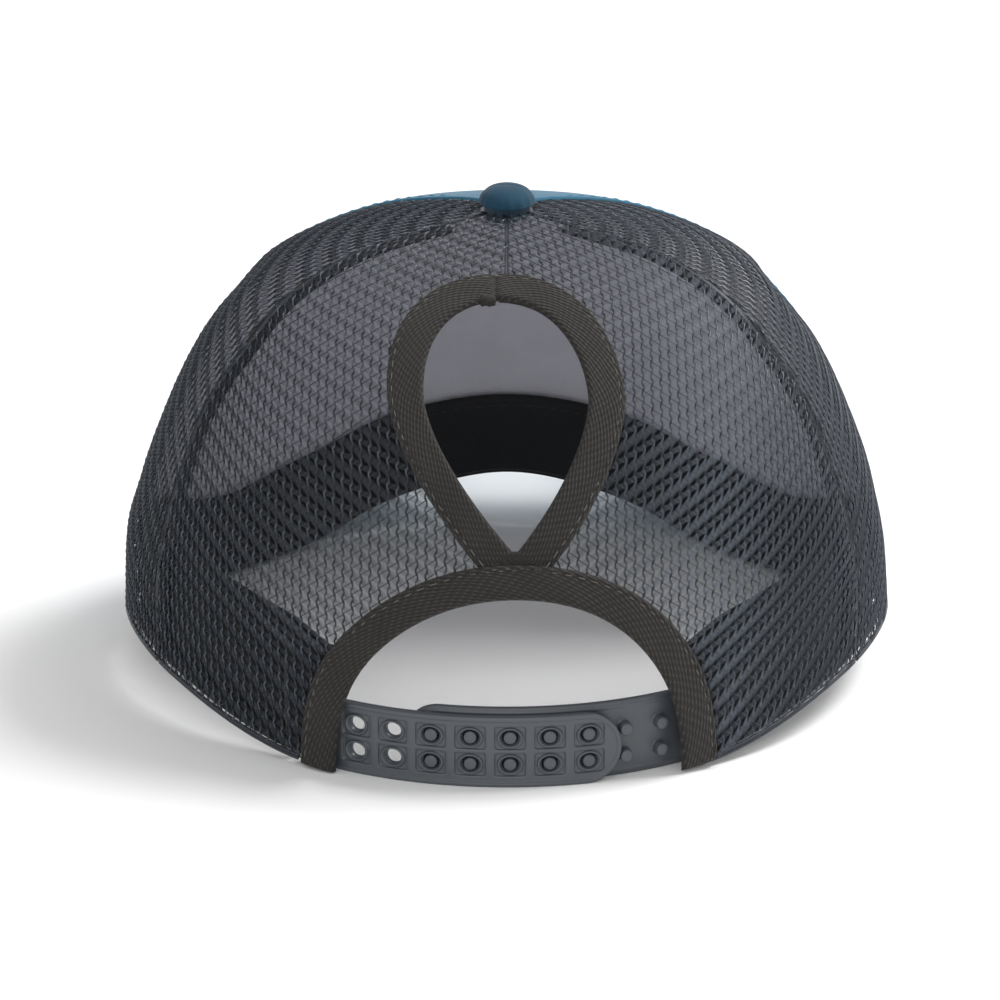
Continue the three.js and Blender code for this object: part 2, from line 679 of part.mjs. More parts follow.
/** A strap with one square end and one round end, between two radii. */
function strapBody(innerRadius, outerRadius, squareArc, roundArc, low, high) {
  const half = (high - low) / 2;
  const centerArc = roundArc - Math.sign(roundArc - squareArc) * half;
  const beyond = 2 * roundArc - centerArc;
  const [fromArc, toArc] = [squareArc, roundArc].sort((a, b) => a - b);
  const [fromCut, toCut] = [centerArc, beyond].sort((a, b) => a - b);
  const inside = innerRadius - CUT_MARGIN;
  const outside = outerRadius + CUT_MARGIN;
  const band = strapBand(innerRadius, outerRadius, fromArc, toArc, low, high);
  const end = strapBand(inside, outside, fromCut, toCut, low - CUT_MARGIN, high + CUT_MARGIN);
  const round = strapBar(half, inside, outside, centerArc, low + half, STRAP_END_SIDES);
  return band.subtract(end.subtract(round));
}

/** Strap with the holes, sewn to the left leg, its round end over the peg strap. */
function snapStrapHoles() {
  const outer = STRAP_RADIUS;
  const inner = STRAP_RADIUS - STRAP_THICKNESS;
  const lastArc = FIRST_HOLE_ARC + SNAP_PITCH * (SNAP_COLUMNS - 1);
  const endArc = lastArc + SNAP_END_MARGIN;
  const field = outer - FLANGE_DEPTH;
  const pocketFloor = field - POCKET_DEPTH;
  const above = outer + CUT_MARGIN;
  const sunkTop = STRAP_HEIGHT - FLANGE_WIDTH;
  const sunk = strapBody(field, above, -STRAP_END_ARC, endArc - FLANGE_WIDTH, FLANGE_WIDTH, sunkTop);
  let strap = strapBody(inner, outer, -STRAP_END_ARC, endArc, 0, STRAP_HEIGHT).subtract(sunk);
  for (let column = 0; column < SNAP_COLUMNS; column += 1) {
    for (const height of SNAP_ROW_HEIGHTS) {
      const arc = FIRST_HOLE_ARC + SNAP_PITCH * column;
      const pocket = strapBlock(POCKET_WIDTH, POCKET_HEIGHT, pocketFloor, above, arc, height);
      const rim = strapBar(HOLE_RIM_RADIUS, pocketFloor - JOIN_DEPTH, field, arc, height, HOLE_SIDES);
      const hole = strapBar(HOLE_RADIUS, inner - CUT_MARGIN, above, arc, height, HOLE_SIDES);
      strap = strap.subtract(pocket).add(rim).subtract(hole);
    }
  }
  return toGeometry(strap);
}

/** Strap with the pegs, sewn to the right leg, its pegs standing in the holes. */
function snapStrapPegs() {
  const outer = STRAP_RADIUS - STRAP_THICKNESS - EDGE_GAP;
  const inner = outer - PEG_STRAP_THICKNESS;
  const firstArc = FIRST_HOLE_ARC + SNAP_PITCH * FIRST_PEG_COLUMN;
  let strap = strapBody(inner, outer, STRAP_END_ARC, firstArc - SNAP_END_MARGIN, 0, PEG_STRAP_HEIGHT);
  for (let column = 0; column < SNAP_COLUMNS; column += 1) {
    for (const height of SNAP_ROW_HEIGHTS) {
      const arc = firstArc + SNAP_PITCH * column;
      const top = STRAP_RADIUS - PEG_RECESS;
      strap = strap.add(strapBar(PEG_RADIUS, outer - JOIN_DEPTH, top, arc, height, PEG_SIDES));
    }
  }
  return toGeometry(strap);
}

const PIECES = [
  ["front_panel", frontPanel(), surface("front")],
  ["front_lining", frontLining(), surface("lining")],
  ["side_mesh_left", sidePanel(-1), surface("net")],
  ["side_mesh_right", sidePanel(1), surface("net")],
  ["back_mesh_left", backPanel(-1), surface("net")],
  ["back_mesh_right", backPanel(1), surface("net")],
  ["seam_tape_left", seamTape(-1), surface("tape")],
  ["seam_tape_right", seamTape(1), surface("tape")],
  ["sweatband", sweatband(), surface("sweatband")],
  ["ponytail_binding", ponytailBinding(), surface("tape")],
  ["arch_binding", archBinding(), surface("tape")],
  ["crown_button", crownButton(), surface("front")],
  ["peak", peak(), surface("front")],
  ["snap_strap_holes", snapStrapHoles(), surface("strap")],
  ["snap_strap_pegs", snapStrapPegs(), surface("strap")],
];

const cap = new THREE.Group();
for (const [name, geometry, material] of PIECES) {
  const mesh = new THREE.Mesh(geometry, material);
  mesh.name = name;
  cap.add(mesh);
}

// The origin is on the ground under the middle of the whole cap, peak included
const box = new THREE.Box3().setFromObject(cap, true);
const center = box.getCenter(new THREE.Vector3());
cap.position.set(-center.x, -center.y, -box.min.z);

export default cap;
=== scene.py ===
"""Trucker cap with a ponytail opening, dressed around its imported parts. Metres in Blender,
millimetres in the tables."""
import math

import bpy
import numpy as np
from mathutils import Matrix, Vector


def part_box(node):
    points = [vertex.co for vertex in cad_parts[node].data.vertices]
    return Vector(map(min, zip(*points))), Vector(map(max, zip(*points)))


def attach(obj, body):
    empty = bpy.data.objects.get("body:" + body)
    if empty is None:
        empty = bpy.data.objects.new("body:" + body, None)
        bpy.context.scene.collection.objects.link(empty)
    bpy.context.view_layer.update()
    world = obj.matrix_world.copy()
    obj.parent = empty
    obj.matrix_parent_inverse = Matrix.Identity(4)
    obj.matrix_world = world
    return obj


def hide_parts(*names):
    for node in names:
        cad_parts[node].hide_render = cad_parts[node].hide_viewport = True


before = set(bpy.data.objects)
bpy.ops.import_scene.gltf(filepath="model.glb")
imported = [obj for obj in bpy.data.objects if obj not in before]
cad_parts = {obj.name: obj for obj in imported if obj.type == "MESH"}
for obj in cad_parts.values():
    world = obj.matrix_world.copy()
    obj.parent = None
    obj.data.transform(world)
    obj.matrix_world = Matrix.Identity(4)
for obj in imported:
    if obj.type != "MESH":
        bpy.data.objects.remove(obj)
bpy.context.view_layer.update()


# The crown
# Five cloth panels sewn together along their seams take one rounded shape. Every cloth piece below is laid
# on that shape, at its own depth, by an angle from the middle of the back and a level from rim to button.
CROWN_LEVELS = (0.00, 0.14, 0.30, 0.44, 0.57, 0.68, 0.78, 0.87, 0.94, 1.00)
CROWN_REACH = {
    "half": (92.0, 91.0, 87.5, 82.5, 76.5, 69.0, 60.0, 42.0, 18.0, 0.0),
    "side_z": (0.0, 29.0, 45.0, 59.0, 72.5, 85.0, 96.0, 105.0, 110.0, 112.0),
    "back": (86.0, 84.5, 81.0, 75.5, 67.0, 55.0, 41.0, 26.0, 13.0, 0.0),
    "back_z": (0.0, 18.0, 37.0, 54.0, 71.0, 86.5, 98.5, 106.5, 110.3, 112.0),
    "front": (88.0, 81.5, 75.0, 67.5, 59.5, 50.5, 41.0, 28.0, 14.5, 0.0),
    "front_z": (0.0, 31.0, 48.0, 63.0, 77.0, 89.0, 99.5, 107.0, 110.4, 112.0),
}
RIM_ANGLES = (-30, 0, 30, 60, 85, 105, 125, 145, 162, 180, 198)
RIM_HEIGHTS = (1.0, 0.0, 1.0, 10.0, 13.0, 8.0, 1.2, 1.5, 10.0, 15.0, 10.0)
RIM_FADE_LEVEL = 0.3
SQUARENESS_RIM = 1.88
SQUARENESS_SHOULDER = 2.2
SHOULDER_LEVEL = 0.6
TOP_LEVEL = 0.98
# Soft dents beside the shoulder seams: angle, level, reach in angle, reach in level, depth
DENTS = (
    (-98, 0.745, 13, 0.055, 2.2),
    (100, 0.72, 12, 0.06, 2.6),
    (92, 0.16, 12, 0.12, 1.2),
)
BACK_SEAM = ((0.0, 0.57, 0.78, 1.0), (65, 64, 56, 54))
FRONT_SEAM = ((0.0, 0.3, 0.5, 0.7, 0.86, 1.0), (100, 102.5, 106, 114, 136, 144))
MM = 0.001
# Small steps for slopes on the crown
LEVEL_STEP = 0.004
ANGLE_STEP = 0.5

button_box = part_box("crown_button")
CROWN_SHIFT = np.array([
    (button_box[0].x + button_box[1].x) / 2,
    (button_box[0].y + button_box[1].y) / 2,
    0.0,
])


def joined(*columns):
    """Points or pairs from their coordinates, which may be numbers or arrays."""
    return np.stack(np.broadcast_arrays(*columns), axis=-1)


def unit(vectors):
    """Vectors brought to length 1."""
    return vectors / np.maximum(np.linalg.norm(vectors, axis=-1, keepdims=True), 1e-12)


def hump(value, place, reach):
    """A smooth hump of height 1 at a place, fading over a reach on either side of it."""
    return np.exp(-(((value - place) / reach) ** 2))


def smooth_curve(keys, values, at):
    """Value at a place on a smooth curve through rows: cubic Hermite, its slope at a row taken from the
    rows on either side of it."""
    keys = np.asarray(keys, float)
    values = np.asarray(values, float)
    rows = np.arange(len(keys))
    before = np.maximum(rows - 1, 0)
    after = np.minimum(rows + 1, len(keys) - 1)
    slopes = (values[after] - values[before]) / (keys[after] - keys[before])
    row = np.clip(np.searchsorted(keys, at, side="right") - 1, 0, len(keys) - 2)
    span = keys[row + 1] - keys[row]
    u = (at - keys[row]) / span
    rise = values[row] * (2 * u**3 - 3 * u**2 + 1) + values[row + 1] * (3 * u**2 - 2 * u**3)
    return rise + span * (slopes[row] * (u**3 - 2 * u**2 + u) + slopes[row + 1] * (u**3 - u**2))


def squareness(level):
    """Power of the superellipse that the crown follows in plan at a level."""
    return SQUARENESS_RIM + (SQUARENESS_SHOULDER - SQUARENESS_RIM) * np.minimum(level / SHOULDER_LEVEL, 1)


def crown_point(angle, level):
    """Millimetre points of the crown's middle surface. In plan each level is a superellipse
    |x/half|^p + |y/reach|^p = 1, and its height goes from side to back or front with (y/reach)^2."""
    angle, level = np.broadcast_arrays(np.asarray(angle, float), np.asarray(level, float))
    power = squareness(level)
    sine = np.sin(np.radians(angle))
    cosine = np.cos(np.radians(angle))
    scale = (np.abs(sine) ** power + np.abs(cosine) ** power) ** (-1 / power)
    across = sine * scale
    ahead = -cosine * scale
    turn = (angle + 180) % 360 - 180
    dent = sum(
        depth * np.exp(-(((turn - at) / wide) ** 2) - ((level - up) / tall) ** 2)
        for at, up, wide, tall, depth in DENTS
    )
    reach = {name: smooth_curve(CROWN_LEVELS, row, level) for name, row in CROWN_REACH.items()}
    behind = ahead < 0
    reach_y = np.where(behind, reach["back"], reach["front"])
    reach_z = np.where(behind, reach["back_z"], reach["front_z"])
    rim = smooth_curve(RIM_ANGLES, RIM_HEIGHTS, np.abs(turn))
    z = reach["side_z"] + (reach_z - reach["side_z"]) * ahead**2
    z = z + rim * np.maximum(1 - level / RIM_FADE_LEVEL, 0) ** 2
    return joined((reach["half"] - dent) * across, reach_y * ahead, z)


def crown_normal(angle, level):
    """Unit normals of the crown, from the cross product of small steps round it and up it."""
    low = np.maximum(level - LEVEL_STEP, 0)
    high = np.minimum(level + LEVEL_STEP, 1)
    up = crown_point(angle, high) - crown_point(angle, low)
    round_it = crown_point(angle + ANGLE_STEP, level) - crown_point(angle - ANGLE_STEP, level)
    return unit(np.cross(round_it, up))


def on_crown(angle, level, distance=0.0):
    """Metre points at a distance in millimetres outside the crown's middle surface."""
    normal = crown_normal(angle, level)
    return (crown_point(angle, level) + normal * np.asarray(distance)[..., None]) * MM + CROWN_SHIFT


# Lengths along the cloth, measured once on a fine table of the crown
LENGTH_LEVELS = np.linspace(0, TOP_LEVEL, 393)
LENGTH_ANGLES = np.linspace(-180, 180, 361)


def run_lengths(points, axis):
    """Length from the first point of each line of a grid to each of its points."""
    steps = np.linalg.norm(np.diff(points, axis=axis), axis=-1)
    before = np.zeros_like(np.take(steps, [0], axis=axis))
    return np.concatenate([before, np.cumsum(steps, axis=axis)], axis=axis)


table_points = crown_point(LENGTH_ANGLES[None, :], LENGTH_LEVELS[:, None])
ROUND_TABLE = run_lengths(table_points, 1)
UP_TABLE = run_lengths(table_points, 0)


def read_table(table, angle, level):
    """Value of a table of lengths at an angle and a level, read between its entries."""
    row = np.clip(level / TOP_LEVEL * (len(LENGTH_LEVELS) - 1), 0, len(LENGTH_LEVELS) - 1.001)
    column = np.clip((angle + 180) % 360, 0, 359.999)
    r = row.astype(int)
    c = column.astype(int)
    a = row - r
    b = column - c
    low = table[r, c] * (1 - b) + table[r, c + 1] * b
    high = table[r + 1, c] * (1 - b) + table[r + 1, c + 1] * b
    return low * (1 - a) + high * a


def lengths_up(angle):
    """Length of cloth from the rim up to each level of the table, at one angle."""
    return run_lengths(crown_point(angle, LENGTH_LEVELS), 0)


def level_after(angle, start, length):
    """Level reached from a start level after a length of cloth up the crown: Newton steps."""
    angle, length = np.broadcast_arrays(np.asarray(angle, float), np.asarray(length, float))
    goal = read_table(UP_TABLE, angle, np.full_like(angle, start)) + length
    level = np.full_like(angle, start)
    for _ in range(10):
        low, here, high = (read_table(UP_TABLE, angle, level + step * LEVEL_STEP) for step in (-1, 0, 1))
        rise = 2 * LEVEL_STEP * (goal - here) / np.maximum(high - low, 0.1)
        level = np.clip(level + rise, LEVEL_STEP, TOP_LEVEL)
    return level


def cloth_place(around, height, middle):
    """Angle and level at a length round the crown from a middle angle, and a height up that middle:
    Newton steps on the length round the crown."""
    level = np.interp(height, lengths_up(middle), LENGTH_LEVELS)
    goal = read_table(ROUND_TABLE, np.full_like(level, middle), level) + around
    angle = np.full_like(level, middle)
    for _ in range(8):
        low, here, high = (read_table(ROUND_TABLE, angle + step * ANGLE_STEP, level) for step in (-1, 0, 1))
        angle = np.clip(angle + (goal - here) / np.maximum(high - low, 0.02), -179, 179)
    return angle, level


def make_part(points, faces, uv=None, tone=0.0):
    """One closed part of a mesh: points, arrays of faces of one size each, a uv pair and a tone for each
    point. Faces that enclose a negative volume are turned round."""
    points = np.asarray(points, float).reshape(-1, 3)
    faces = [np.asarray(group, int) for group in faces if len(group)]
    triangles = np.concatenate([
        np.concatenate([group[:, [0, i, i + 1]] for i in range(1, group.shape[1] - 1)]) for group in faces
    ])
    a, b, c = (points[triangles[:, i]] - points[triangles[0, 0]] for i in range(3))
    if np.einsum("ij,ij->i", a, np.cross(b, c)).sum() < 0:
        faces = [group[:, ::-1] for group in faces]
    pairs = np.zeros((len(points), 2)) if uv is None else np.asarray(uv, float).reshape(-1, 2)
    return points, faces, pairs, np.broadcast_to(np.asarray(tone, float), (len(points),))


def mesh_object(name, *parts, smooth=True):
    """A new object from one or more parts, with a UV map in millimetres and the tone as an attribute."""
    starts = np.cumsum([0] + [len(points) for points, _, _, _ in parts])
    points, pairs, tones = (np.concatenate([part[i] for part in parts]) for i in (0, 2, 3))
    faces = [group + start for part, start in zip(parts, starts) for group in part[1]]
    used = np.unique(np.concatenate([group.ravel() for group in faces]))
    renumber = np.zeros(len(points), int)
    renumber[used] = np.arange(len(used))
    corners = np.concatenate([renumber[group].ravel() for group in faces])
    sizes = np.concatenate([np.full(len(group), group.shape[1]) for group in faces])
    mesh = bpy.data.meshes.new(name)
    mesh.vertices.add(len(used))
    mesh.vertices.foreach_set("co", points[used].astype(np.float32).ravel())
    mesh.loops.add(len(corners))
    mesh.loops.foreach_set("vertex_index", corners.astype(np.int32))
    mesh.polygons.add(len(sizes))
    mesh.polygons.foreach_set("loop_start", np.concatenate([[0], np.cumsum(sizes)[:-1]]).astype(np.int32))
    mesh.polygons.foreach_set("use_smooth", np.full(len(sizes), smooth))
    layer = mesh.uv_layers.new(name="UVMap")
    layer.data.foreach_set("uv", pairs[used][corners].astype(np.float32).ravel())
    tone = mesh.attributes.new("tone", "FLOAT", "POINT")
    tone.data.foreach_set("value", tones[used].astype(np.float32))
    mesh.update(calc_edges=True)
    mesh.validate()
    piece = bpy.data.objects.new(name, mesh)
    bpy.context.scene.collection.objects.link(piece)
    return piece


def grid_faces(rows, columns, ring=False):
    """Quads of a grid of points numbered row by row. A ring's columns close on themselves."""
    r = np.arange(rows - 1)[:, None]
    c = np.arange(columns if ring else columns - 1)[None, :]
    d = (c + 1) % columns
    below = r * columns
    above = below + columns
    return joined(below + c, below + d, above + d, above + c).reshape(-1, 4)


def wall_part(outer, inner, uv):
    """A closed wall between two equal grids of points."""
    rows, columns = outer.shape[:2]
    under = rows * columns
    number = np.arange(under).reshape(rows, columns)
    skin = grid_faces(rows, columns)
    edges = [number[0][::-1], number[-1], number[:, 0], number[:, -1][::-1]]
    strips = [joined(e[:-1], e[1:], e[1:] + under, e[:-1] + under) for e in edges]
    both = np.concatenate([outer.reshape(-1, 3), inner.reshape(-1, 3)])
    return make_part(both, [skin, skin[:, ::-1] + under, *strips], np.concatenate([uv, uv]))


def ring_part(rings, uv=None):
    """A closed part from rows of points that are rings, with a cap on its first and last ring."""
    rows, columns = rings.shape[:2]
    number = np.arange(rows * columns).reshape(rows, columns)
    return make_part(rings, [grid_faces(rows, columns, ring=True), number[:1, ::-1], number[-1:]], uv)


def cloth_lengths(angle, level):
    """Lengths across from the middle column and up from the first row, over a grid of places."""
    points = crown_point(angle, level)
    across = run_lengths(points, 1)
    middle = across[:, across.shape[1] // 2][:, None]
    return across - middle, run_lengths(points, 0)


def edge_share(distance, radius):
    """Share of full thickness at a distance from an edge: a quarter circle within the radius."""
    inward = 1 - np.clip(distance / radius, 0, 1)
    return np.maximum(np.sqrt(1 - inward**2), 0.06)


def cloth_wall(angle, level, outer, inner, rounding, dip=0.0):
    """A cloth wall with rounded edges between two distances over a grid of places on the crown. dip is
    how far its outer face is pressed in."""
    across, up = cloth_lengths(angle, level)
    to_side = np.minimum(across - across[:, :1], across[:, -1:] - across)
    to_end = np.minimum(up, up[-1:] - up)
    share = edge_share(np.minimum(to_side, to_end), rounding)
    half = (outer - inner) / 2 * share
    middle = (outer + inner) / 2
    skins = [on_crown(angle, level, middle + half - dip), on_crown(angle, level, middle - half)]
    return wall_part(*skins, joined(across, up))


def share_grid(rows, columns):
    """Even shares from 0 to 1 up and across a grid."""
    return np.meshgrid(np.linspace(0, 1, rows), np.linspace(0, 1, columns), indexing="ij")


def eased(count):
    """Shares from 0 to 1 that lie closer together near both ends."""
    return 0.5 - 0.5 * np.cos(np.pi * np.linspace(0, 1, count))


def dress(name, parts, material, node):
    """A new piece made of parts, with its material. It stands for a CAD node and is fixed
    to the cap."""
    piece = mesh_object(name, *parts)
    piece.data.materials.append(material)
    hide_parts(node)
    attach(piece, "root")
    return piece


# Thread and yarn
# Sewing thread and the net's yarns are thin closed tubes that follow a line of points.


def tube_part(centers, normals, kept, radius, sides, tone=0.0):
    """Tubes with closed ends round lines of centre points (tubes, steps, 3), with a surface normal, a
    mask of the points kept and a tone for each of them."""
    tubes, steps = kept.shape
    along = unit(np.gradient(centers, axis=1))
    beside = unit(np.cross(along, normals))
    over = np.cross(beside, along)
    turns = 2 * np.pi * np.arange(sides) / sides
    ring = over[:, :, None] * np.cos(turns)[:, None] + beside[:, :, None] * np.sin(turns)[:, None]
    points = (centers[:, :, None] + radius * MM * ring).reshape(-1, 3)
    number = np.arange(tubes * steps * sides).reshape(tubes, steps, sides)
    following = np.roll(number, -1, axis=2)
    quads = joined(number[:, :-1], following[:, :-1], following[:, 1:], number[:, 1:])
    whole = kept[:, :-1] & kept[:, 1:]
    before = np.concatenate([np.zeros((tubes, 1), bool), whole[:, :-1]], axis=1)
    after = np.concatenate([whole[:, 1:], np.zeros((tubes, 1), bool)], axis=1)
    ends = [number[:, :-1][whole & ~before][:, ::-1], number[:, 1:][whole & ~after]]
    tones = np.broadcast_to(np.asarray(tone, float), kept.shape)
    tones = np.repeat(tones.reshape(-1), sides)
    return make_part(points, [quads[whole].reshape(-1, 4), np.concatenate(ends)], tone=tones)


STITCH_PITCH = 3.1


def stitches(points, normals, pitch=STITCH_PITCH, length=2.3, radius=0.2):
    """A row of stitches along a line of points: short bowed tubes whose ends sink into the cloth."""
    along = run_lengths(points / MM, 0)
    middles = np.arange(pitch / 2, along[-1] - pitch / 2, pitch)[:, None]
    share = np.linspace(-1, 1, 5)[None, :]
    places = middles + share * length / 2
    centers, lifts = (
        joined(*(np.interp(places, along, line[:, i]) for i in range(3))) for line in (points, normals)
    )
    lifts = unit(lifts)
    centers = centers + lifts * (radius * (0.7 - 1.7 * share**2) * MM)[..., None]
    return tube_part(centers, lifts, np.ones(centers.shape[:2], bool), radius, 6, tone=1.0)


def crown_stitches(angle, level, distance, **sizes):
    """Stitches along a line of places on the crown, at a distance outside its middle surface."""
    facing = 1 if distance > 0 else -1
    return stitches(on_crown(angle, level, np.full_like(level, distance)),
                    crown_normal(angle, level) * facing, **sizes)


# Materials
# Every cloth is a weave or twill raised by bump, with a soft mottle and, where tone is 1, sewing thread.


def color(hex_value):
    """A linear colour from a display colour written as hex."""
    parts = [(hex_value >> shift & 255) / 255 for shift in (16, 8, 0)]
    return tuple(p / 12.92 if p <= 0.04045 else ((p + 0.055) / 1.055) ** 2.4 for p in parts) + (1.0,)


def feed(tree, node, inputs):
    """Links the inputs of a node to sockets, or sets them to values."""
    for key, value in inputs.items():
        if isinstance(value, bpy.types.NodeSocket):
            tree.links.new(value, node.inputs[key])
        else:
            node.inputs[key].default_value = value
    return node


def add_node(tree, kind, inputs=None, **settings):
    """A shader node with its settings and inputs."""
    made = tree.nodes.new(kind)
    for key, value in settings.items():
        setattr(made, key, value)
    return feed(tree, made, inputs or {})


def calculate(tree, operation, a, b=0.0, c=0.0):
    """Output of a Math node."""
    return add_node(tree, "ShaderNodeMath", {0: a, 1: b, 2: c}, operation=operation).outputs[0]


def shader_group(name, inputs, outputs):
    """An empty shader group with named sockets, and its input and output nodes."""
    group = bpy.data.node_groups.new(name, "ShaderNodeTree")
    for way, sockets in (("INPUT", inputs), ("OUTPUT", outputs)):
        for label, kind in sockets.items():
            group.interface.new_socket(name=label, in_out=way, socket_type=f"NodeSocket{kind}")
    return group, group.nodes.new("NodeGroupInput"), group.nodes.new("NodeGroupOutput")


weave_group, given, result = shader_group(
    "plain_weave", {"Place": "Vector", "Pitch": "Float"}, {"Height": "Float"})
axes = add_node(weave_group, "ShaderNodeSeparateXYZ", {"Vector": given.outputs["Place"]})
waves = []
for axis in ("X", "Y"):
    turn = calculate(weave_group, "DIVIDE", axes.outputs[axis], given.outputs["Pitch"])
    waves.append(calculate(weave_group, "SINE", calculate(weave_group, "MULTIPLY", turn, math.pi)))
crossing = calculate(weave_group, "MULTIPLY", *waves)
feed(weave_group, result, {"Height": calculate(weave_group, "MULTIPLY_ADD", crossing, 0.5, 0.5)})

twill_group, given, result = shader_group(
    "twill", {"Place": "Vector", "Pitch": "Float", "Slope": "Float"}, {"Height": "Float", "Glint": "Float"})
axes = add_node(twill_group, "ShaderNodeSeparateXYZ", {"Vector": given.outputs["Place"]})
drift = add_node(twill_group, "ShaderNodeTexNoise", {
    "Vector": given.outputs["Place"], "Scale": 0.35, "Detail": 2.0}).outputs["Fac"]
slant = calculate(twill_group, "MULTIPLY_ADD", axes.outputs["X"], given.outputs["Slope"], axes.outputs["Y"])
climb = calculate(twill_group, "MULTIPLY_ADD", drift, 0.9, slant)
turn = calculate(twill_group, "DIVIDE", climb, given.outputs["Pitch"])
rib = calculate(twill_group, "SINE", calculate(twill_group, "MULTIPLY", turn, 2 * math.pi))
row = calculate(twill_group, "FLOOR", turn)
step = calculate(twill_group, "DIVIDE", axes.outputs["X"], given.outputs["Pitch"])
beat = calculate(twill_group, "MULTIPLY_ADD", row, 0.37, calculate(twill_group, "MULTIPLY", step, 1.7))
pulse = calculate(twill_group, "SINE", calculate(twill_group, "MULTIPLY", beat, 2 * math.pi))
raised = calculate(twill_group, "MULTIPLY_ADD", rib, 0.35, 0.5)
# Glints on the rib tops where the pulses rise: a painted highlight, for materials that use them
glint = calculate(twill_group, "MULTIPLY", calculate(twill_group, "MAXIMUM", rib, 0.0),
                  calculate(twill_group, "MAXIMUM", pulse, 0.0))
height = calculate(twill_group, "MULTIPLY_ADD", pulse, 0.15, raised)
feed(twill_group, result, {"Height": height, "Glint": glint})

mottle_group, given, result = shader_group(
    "mottle", {"Color": "Color", "Place": "Vector", "Scale": "Float", "Amount": "Float"}, {"Color": "Color"})
noise = add_node(mottle_group, "ShaderNodeTexNoise", {
    "Vector": given.outputs["Place"], "Scale": given.outputs["Scale"], "Detail": 4.0, "Roughness": 0.6})
swing = calculate(mottle_group, "MULTIPLY", calculate(mottle_group, "SUBTRACT", noise.outputs["Fac"], 0.5),
                  given.outputs["Amount"])
gain = calculate(mottle_group, "MULTIPLY_ADD", swing, 2.0, 1.0)
scaled = add_node(mottle_group, "ShaderNodeVectorMath", {
    0: given.outputs["Color"], "Scale": gain}, operation="SCALE")
feed(mottle_group, result, {"Color": scaled.outputs[0]})


def new_material(name):
    """A new material, its node tree and its Principled BSDF."""
    material = bpy.data.materials.new(name)
    material.use_nodes = True
    return material, material.node_tree, material.node_tree.nodes["Principled BSDF"]


def use_group(tree, group, inputs):
    """A shader group used in a material."""
    return add_node(tree, "ShaderNodeGroup", inputs, node_tree=group)


def mottled(tree, shade, scale, amount):
    """A display colour with a soft mottle over the piece."""
    spot = add_node(tree, "ShaderNodeTexCoord").outputs["Object"]
    return use_group(tree, mottle_group, {
        "Color": color(shade), "Place": spot, "Scale": scale, "Amount": amount}).outputs["Color"]


def grain(tree, scale, detail):
    """A fine noise over the piece."""
    spot = add_node(tree, "ShaderNodeTexCoord").outputs["Object"]
    return add_node(tree, "ShaderNodeTexNoise", {
        "Vector": spot, "Scale": scale, "Detail": detail}).outputs["Fac"]


def toned(tree, low, high):
    """A colour between two, by the tone that the mesh carries."""
    tone = add_node(tree, "ShaderNodeAttribute", attribute_name="tone").outputs["Fac"]
    return add_node(tree, "ShaderNodeMix", {0: tone, 6: low, 7: high}, data_type="RGBA").outputs[2]


def raised_by(tree, height, strength, depth):
    """A normal raised by a height, whose full depth is in millimetres."""
    return add_node(tree, "ShaderNodeBump", {
        "Height": height, "Strength": strength, "Distance": depth * MM}).outputs["Normal"]


def cloth_material(name, cloth, thread, pitch, twill_slope=None, bump=0.5, depth=0.12, roughness=0.85,
                   sheen=0.2, mottle=0.10, painted_glint_gain=0.0):
    """Woven cloth in one colour with thread in another. Plain weave, or twill where a slope is given. With a
    glint gain, the twill's colour is painted lighter on its raised ribs and glints and darker in its
    grooves: painted highlight and painted shade.
    """
    material, tree, principled = new_material(name)
    place = add_node(tree, "ShaderNodeUVMap", uv_map="UVMap").outputs["UV"]
    base = mottled(tree, cloth, 90.0, mottle)
    if twill_slope is None:
        height = use_group(tree, weave_group, {"Place": place, "Pitch": pitch}).outputs["Height"]
    else:
        weave = use_group(tree, twill_group, {"Place": place, "Pitch": pitch, "Slope": twill_slope})
        height = weave.outputs["Height"]
        # Painted light: the base colour is scaled up on raised ribs and glints and down in the grooves, a
        # painted highlight and a painted shade
        if painted_glint_gain:
            lit = calculate(tree, "MULTIPLY_ADD", weave.outputs["Glint"], painted_glint_gain, 0.55)
            lit = calculate(tree, "MULTIPLY_ADD", height, 0.6, lit)
            base = add_node(tree, "ShaderNodeVectorMath", {0: base, "Scale": lit},
                            operation="SCALE").outputs[0]
    fuzzy_height = calculate(tree, "MULTIPLY_ADD", grain(tree, 2500.0, 2.0), 0.5, height)
    feed(tree, principled, {
        "Base Color": toned(tree, base, color(thread)),
        "Normal": raised_by(tree, fuzzy_height, bump, depth),
        "Roughness": roughness,
        "Sheen Weight": sheen,
        "Sheen Roughness": 0.5,
        "Specular IOR Level": 0.3,
    })
    return material


# The net panels
# Warp-knitted polyester net. Upright pillars of twisted yarn are joined across by ladders of short floats
# and by bundles of long slanting floats, with two rounded holes between one bundle and the next.
# The left and right panels are cut as a mirrored pair, so the floats lie inside on the left and outside
# on the right. Cords of the turned-in edge run along the rim and the seams.
PILLAR_PITCH = 2.2
HOLE_PITCH = 3.02
ROW_CLIMB = 1.15
PILLAR_LEAN = 0.035
PILLAR_SWAY = 0.27
PILLAR_YARN_RADIUS = 0.17
PILLAR_TWIST = 0.14
FLOAT_RADIUS = 0.06
FLOAT_SLOPE = 0.9
LADDER_SLOPE = 0.35
FLOAT_DEPTH = 0.24
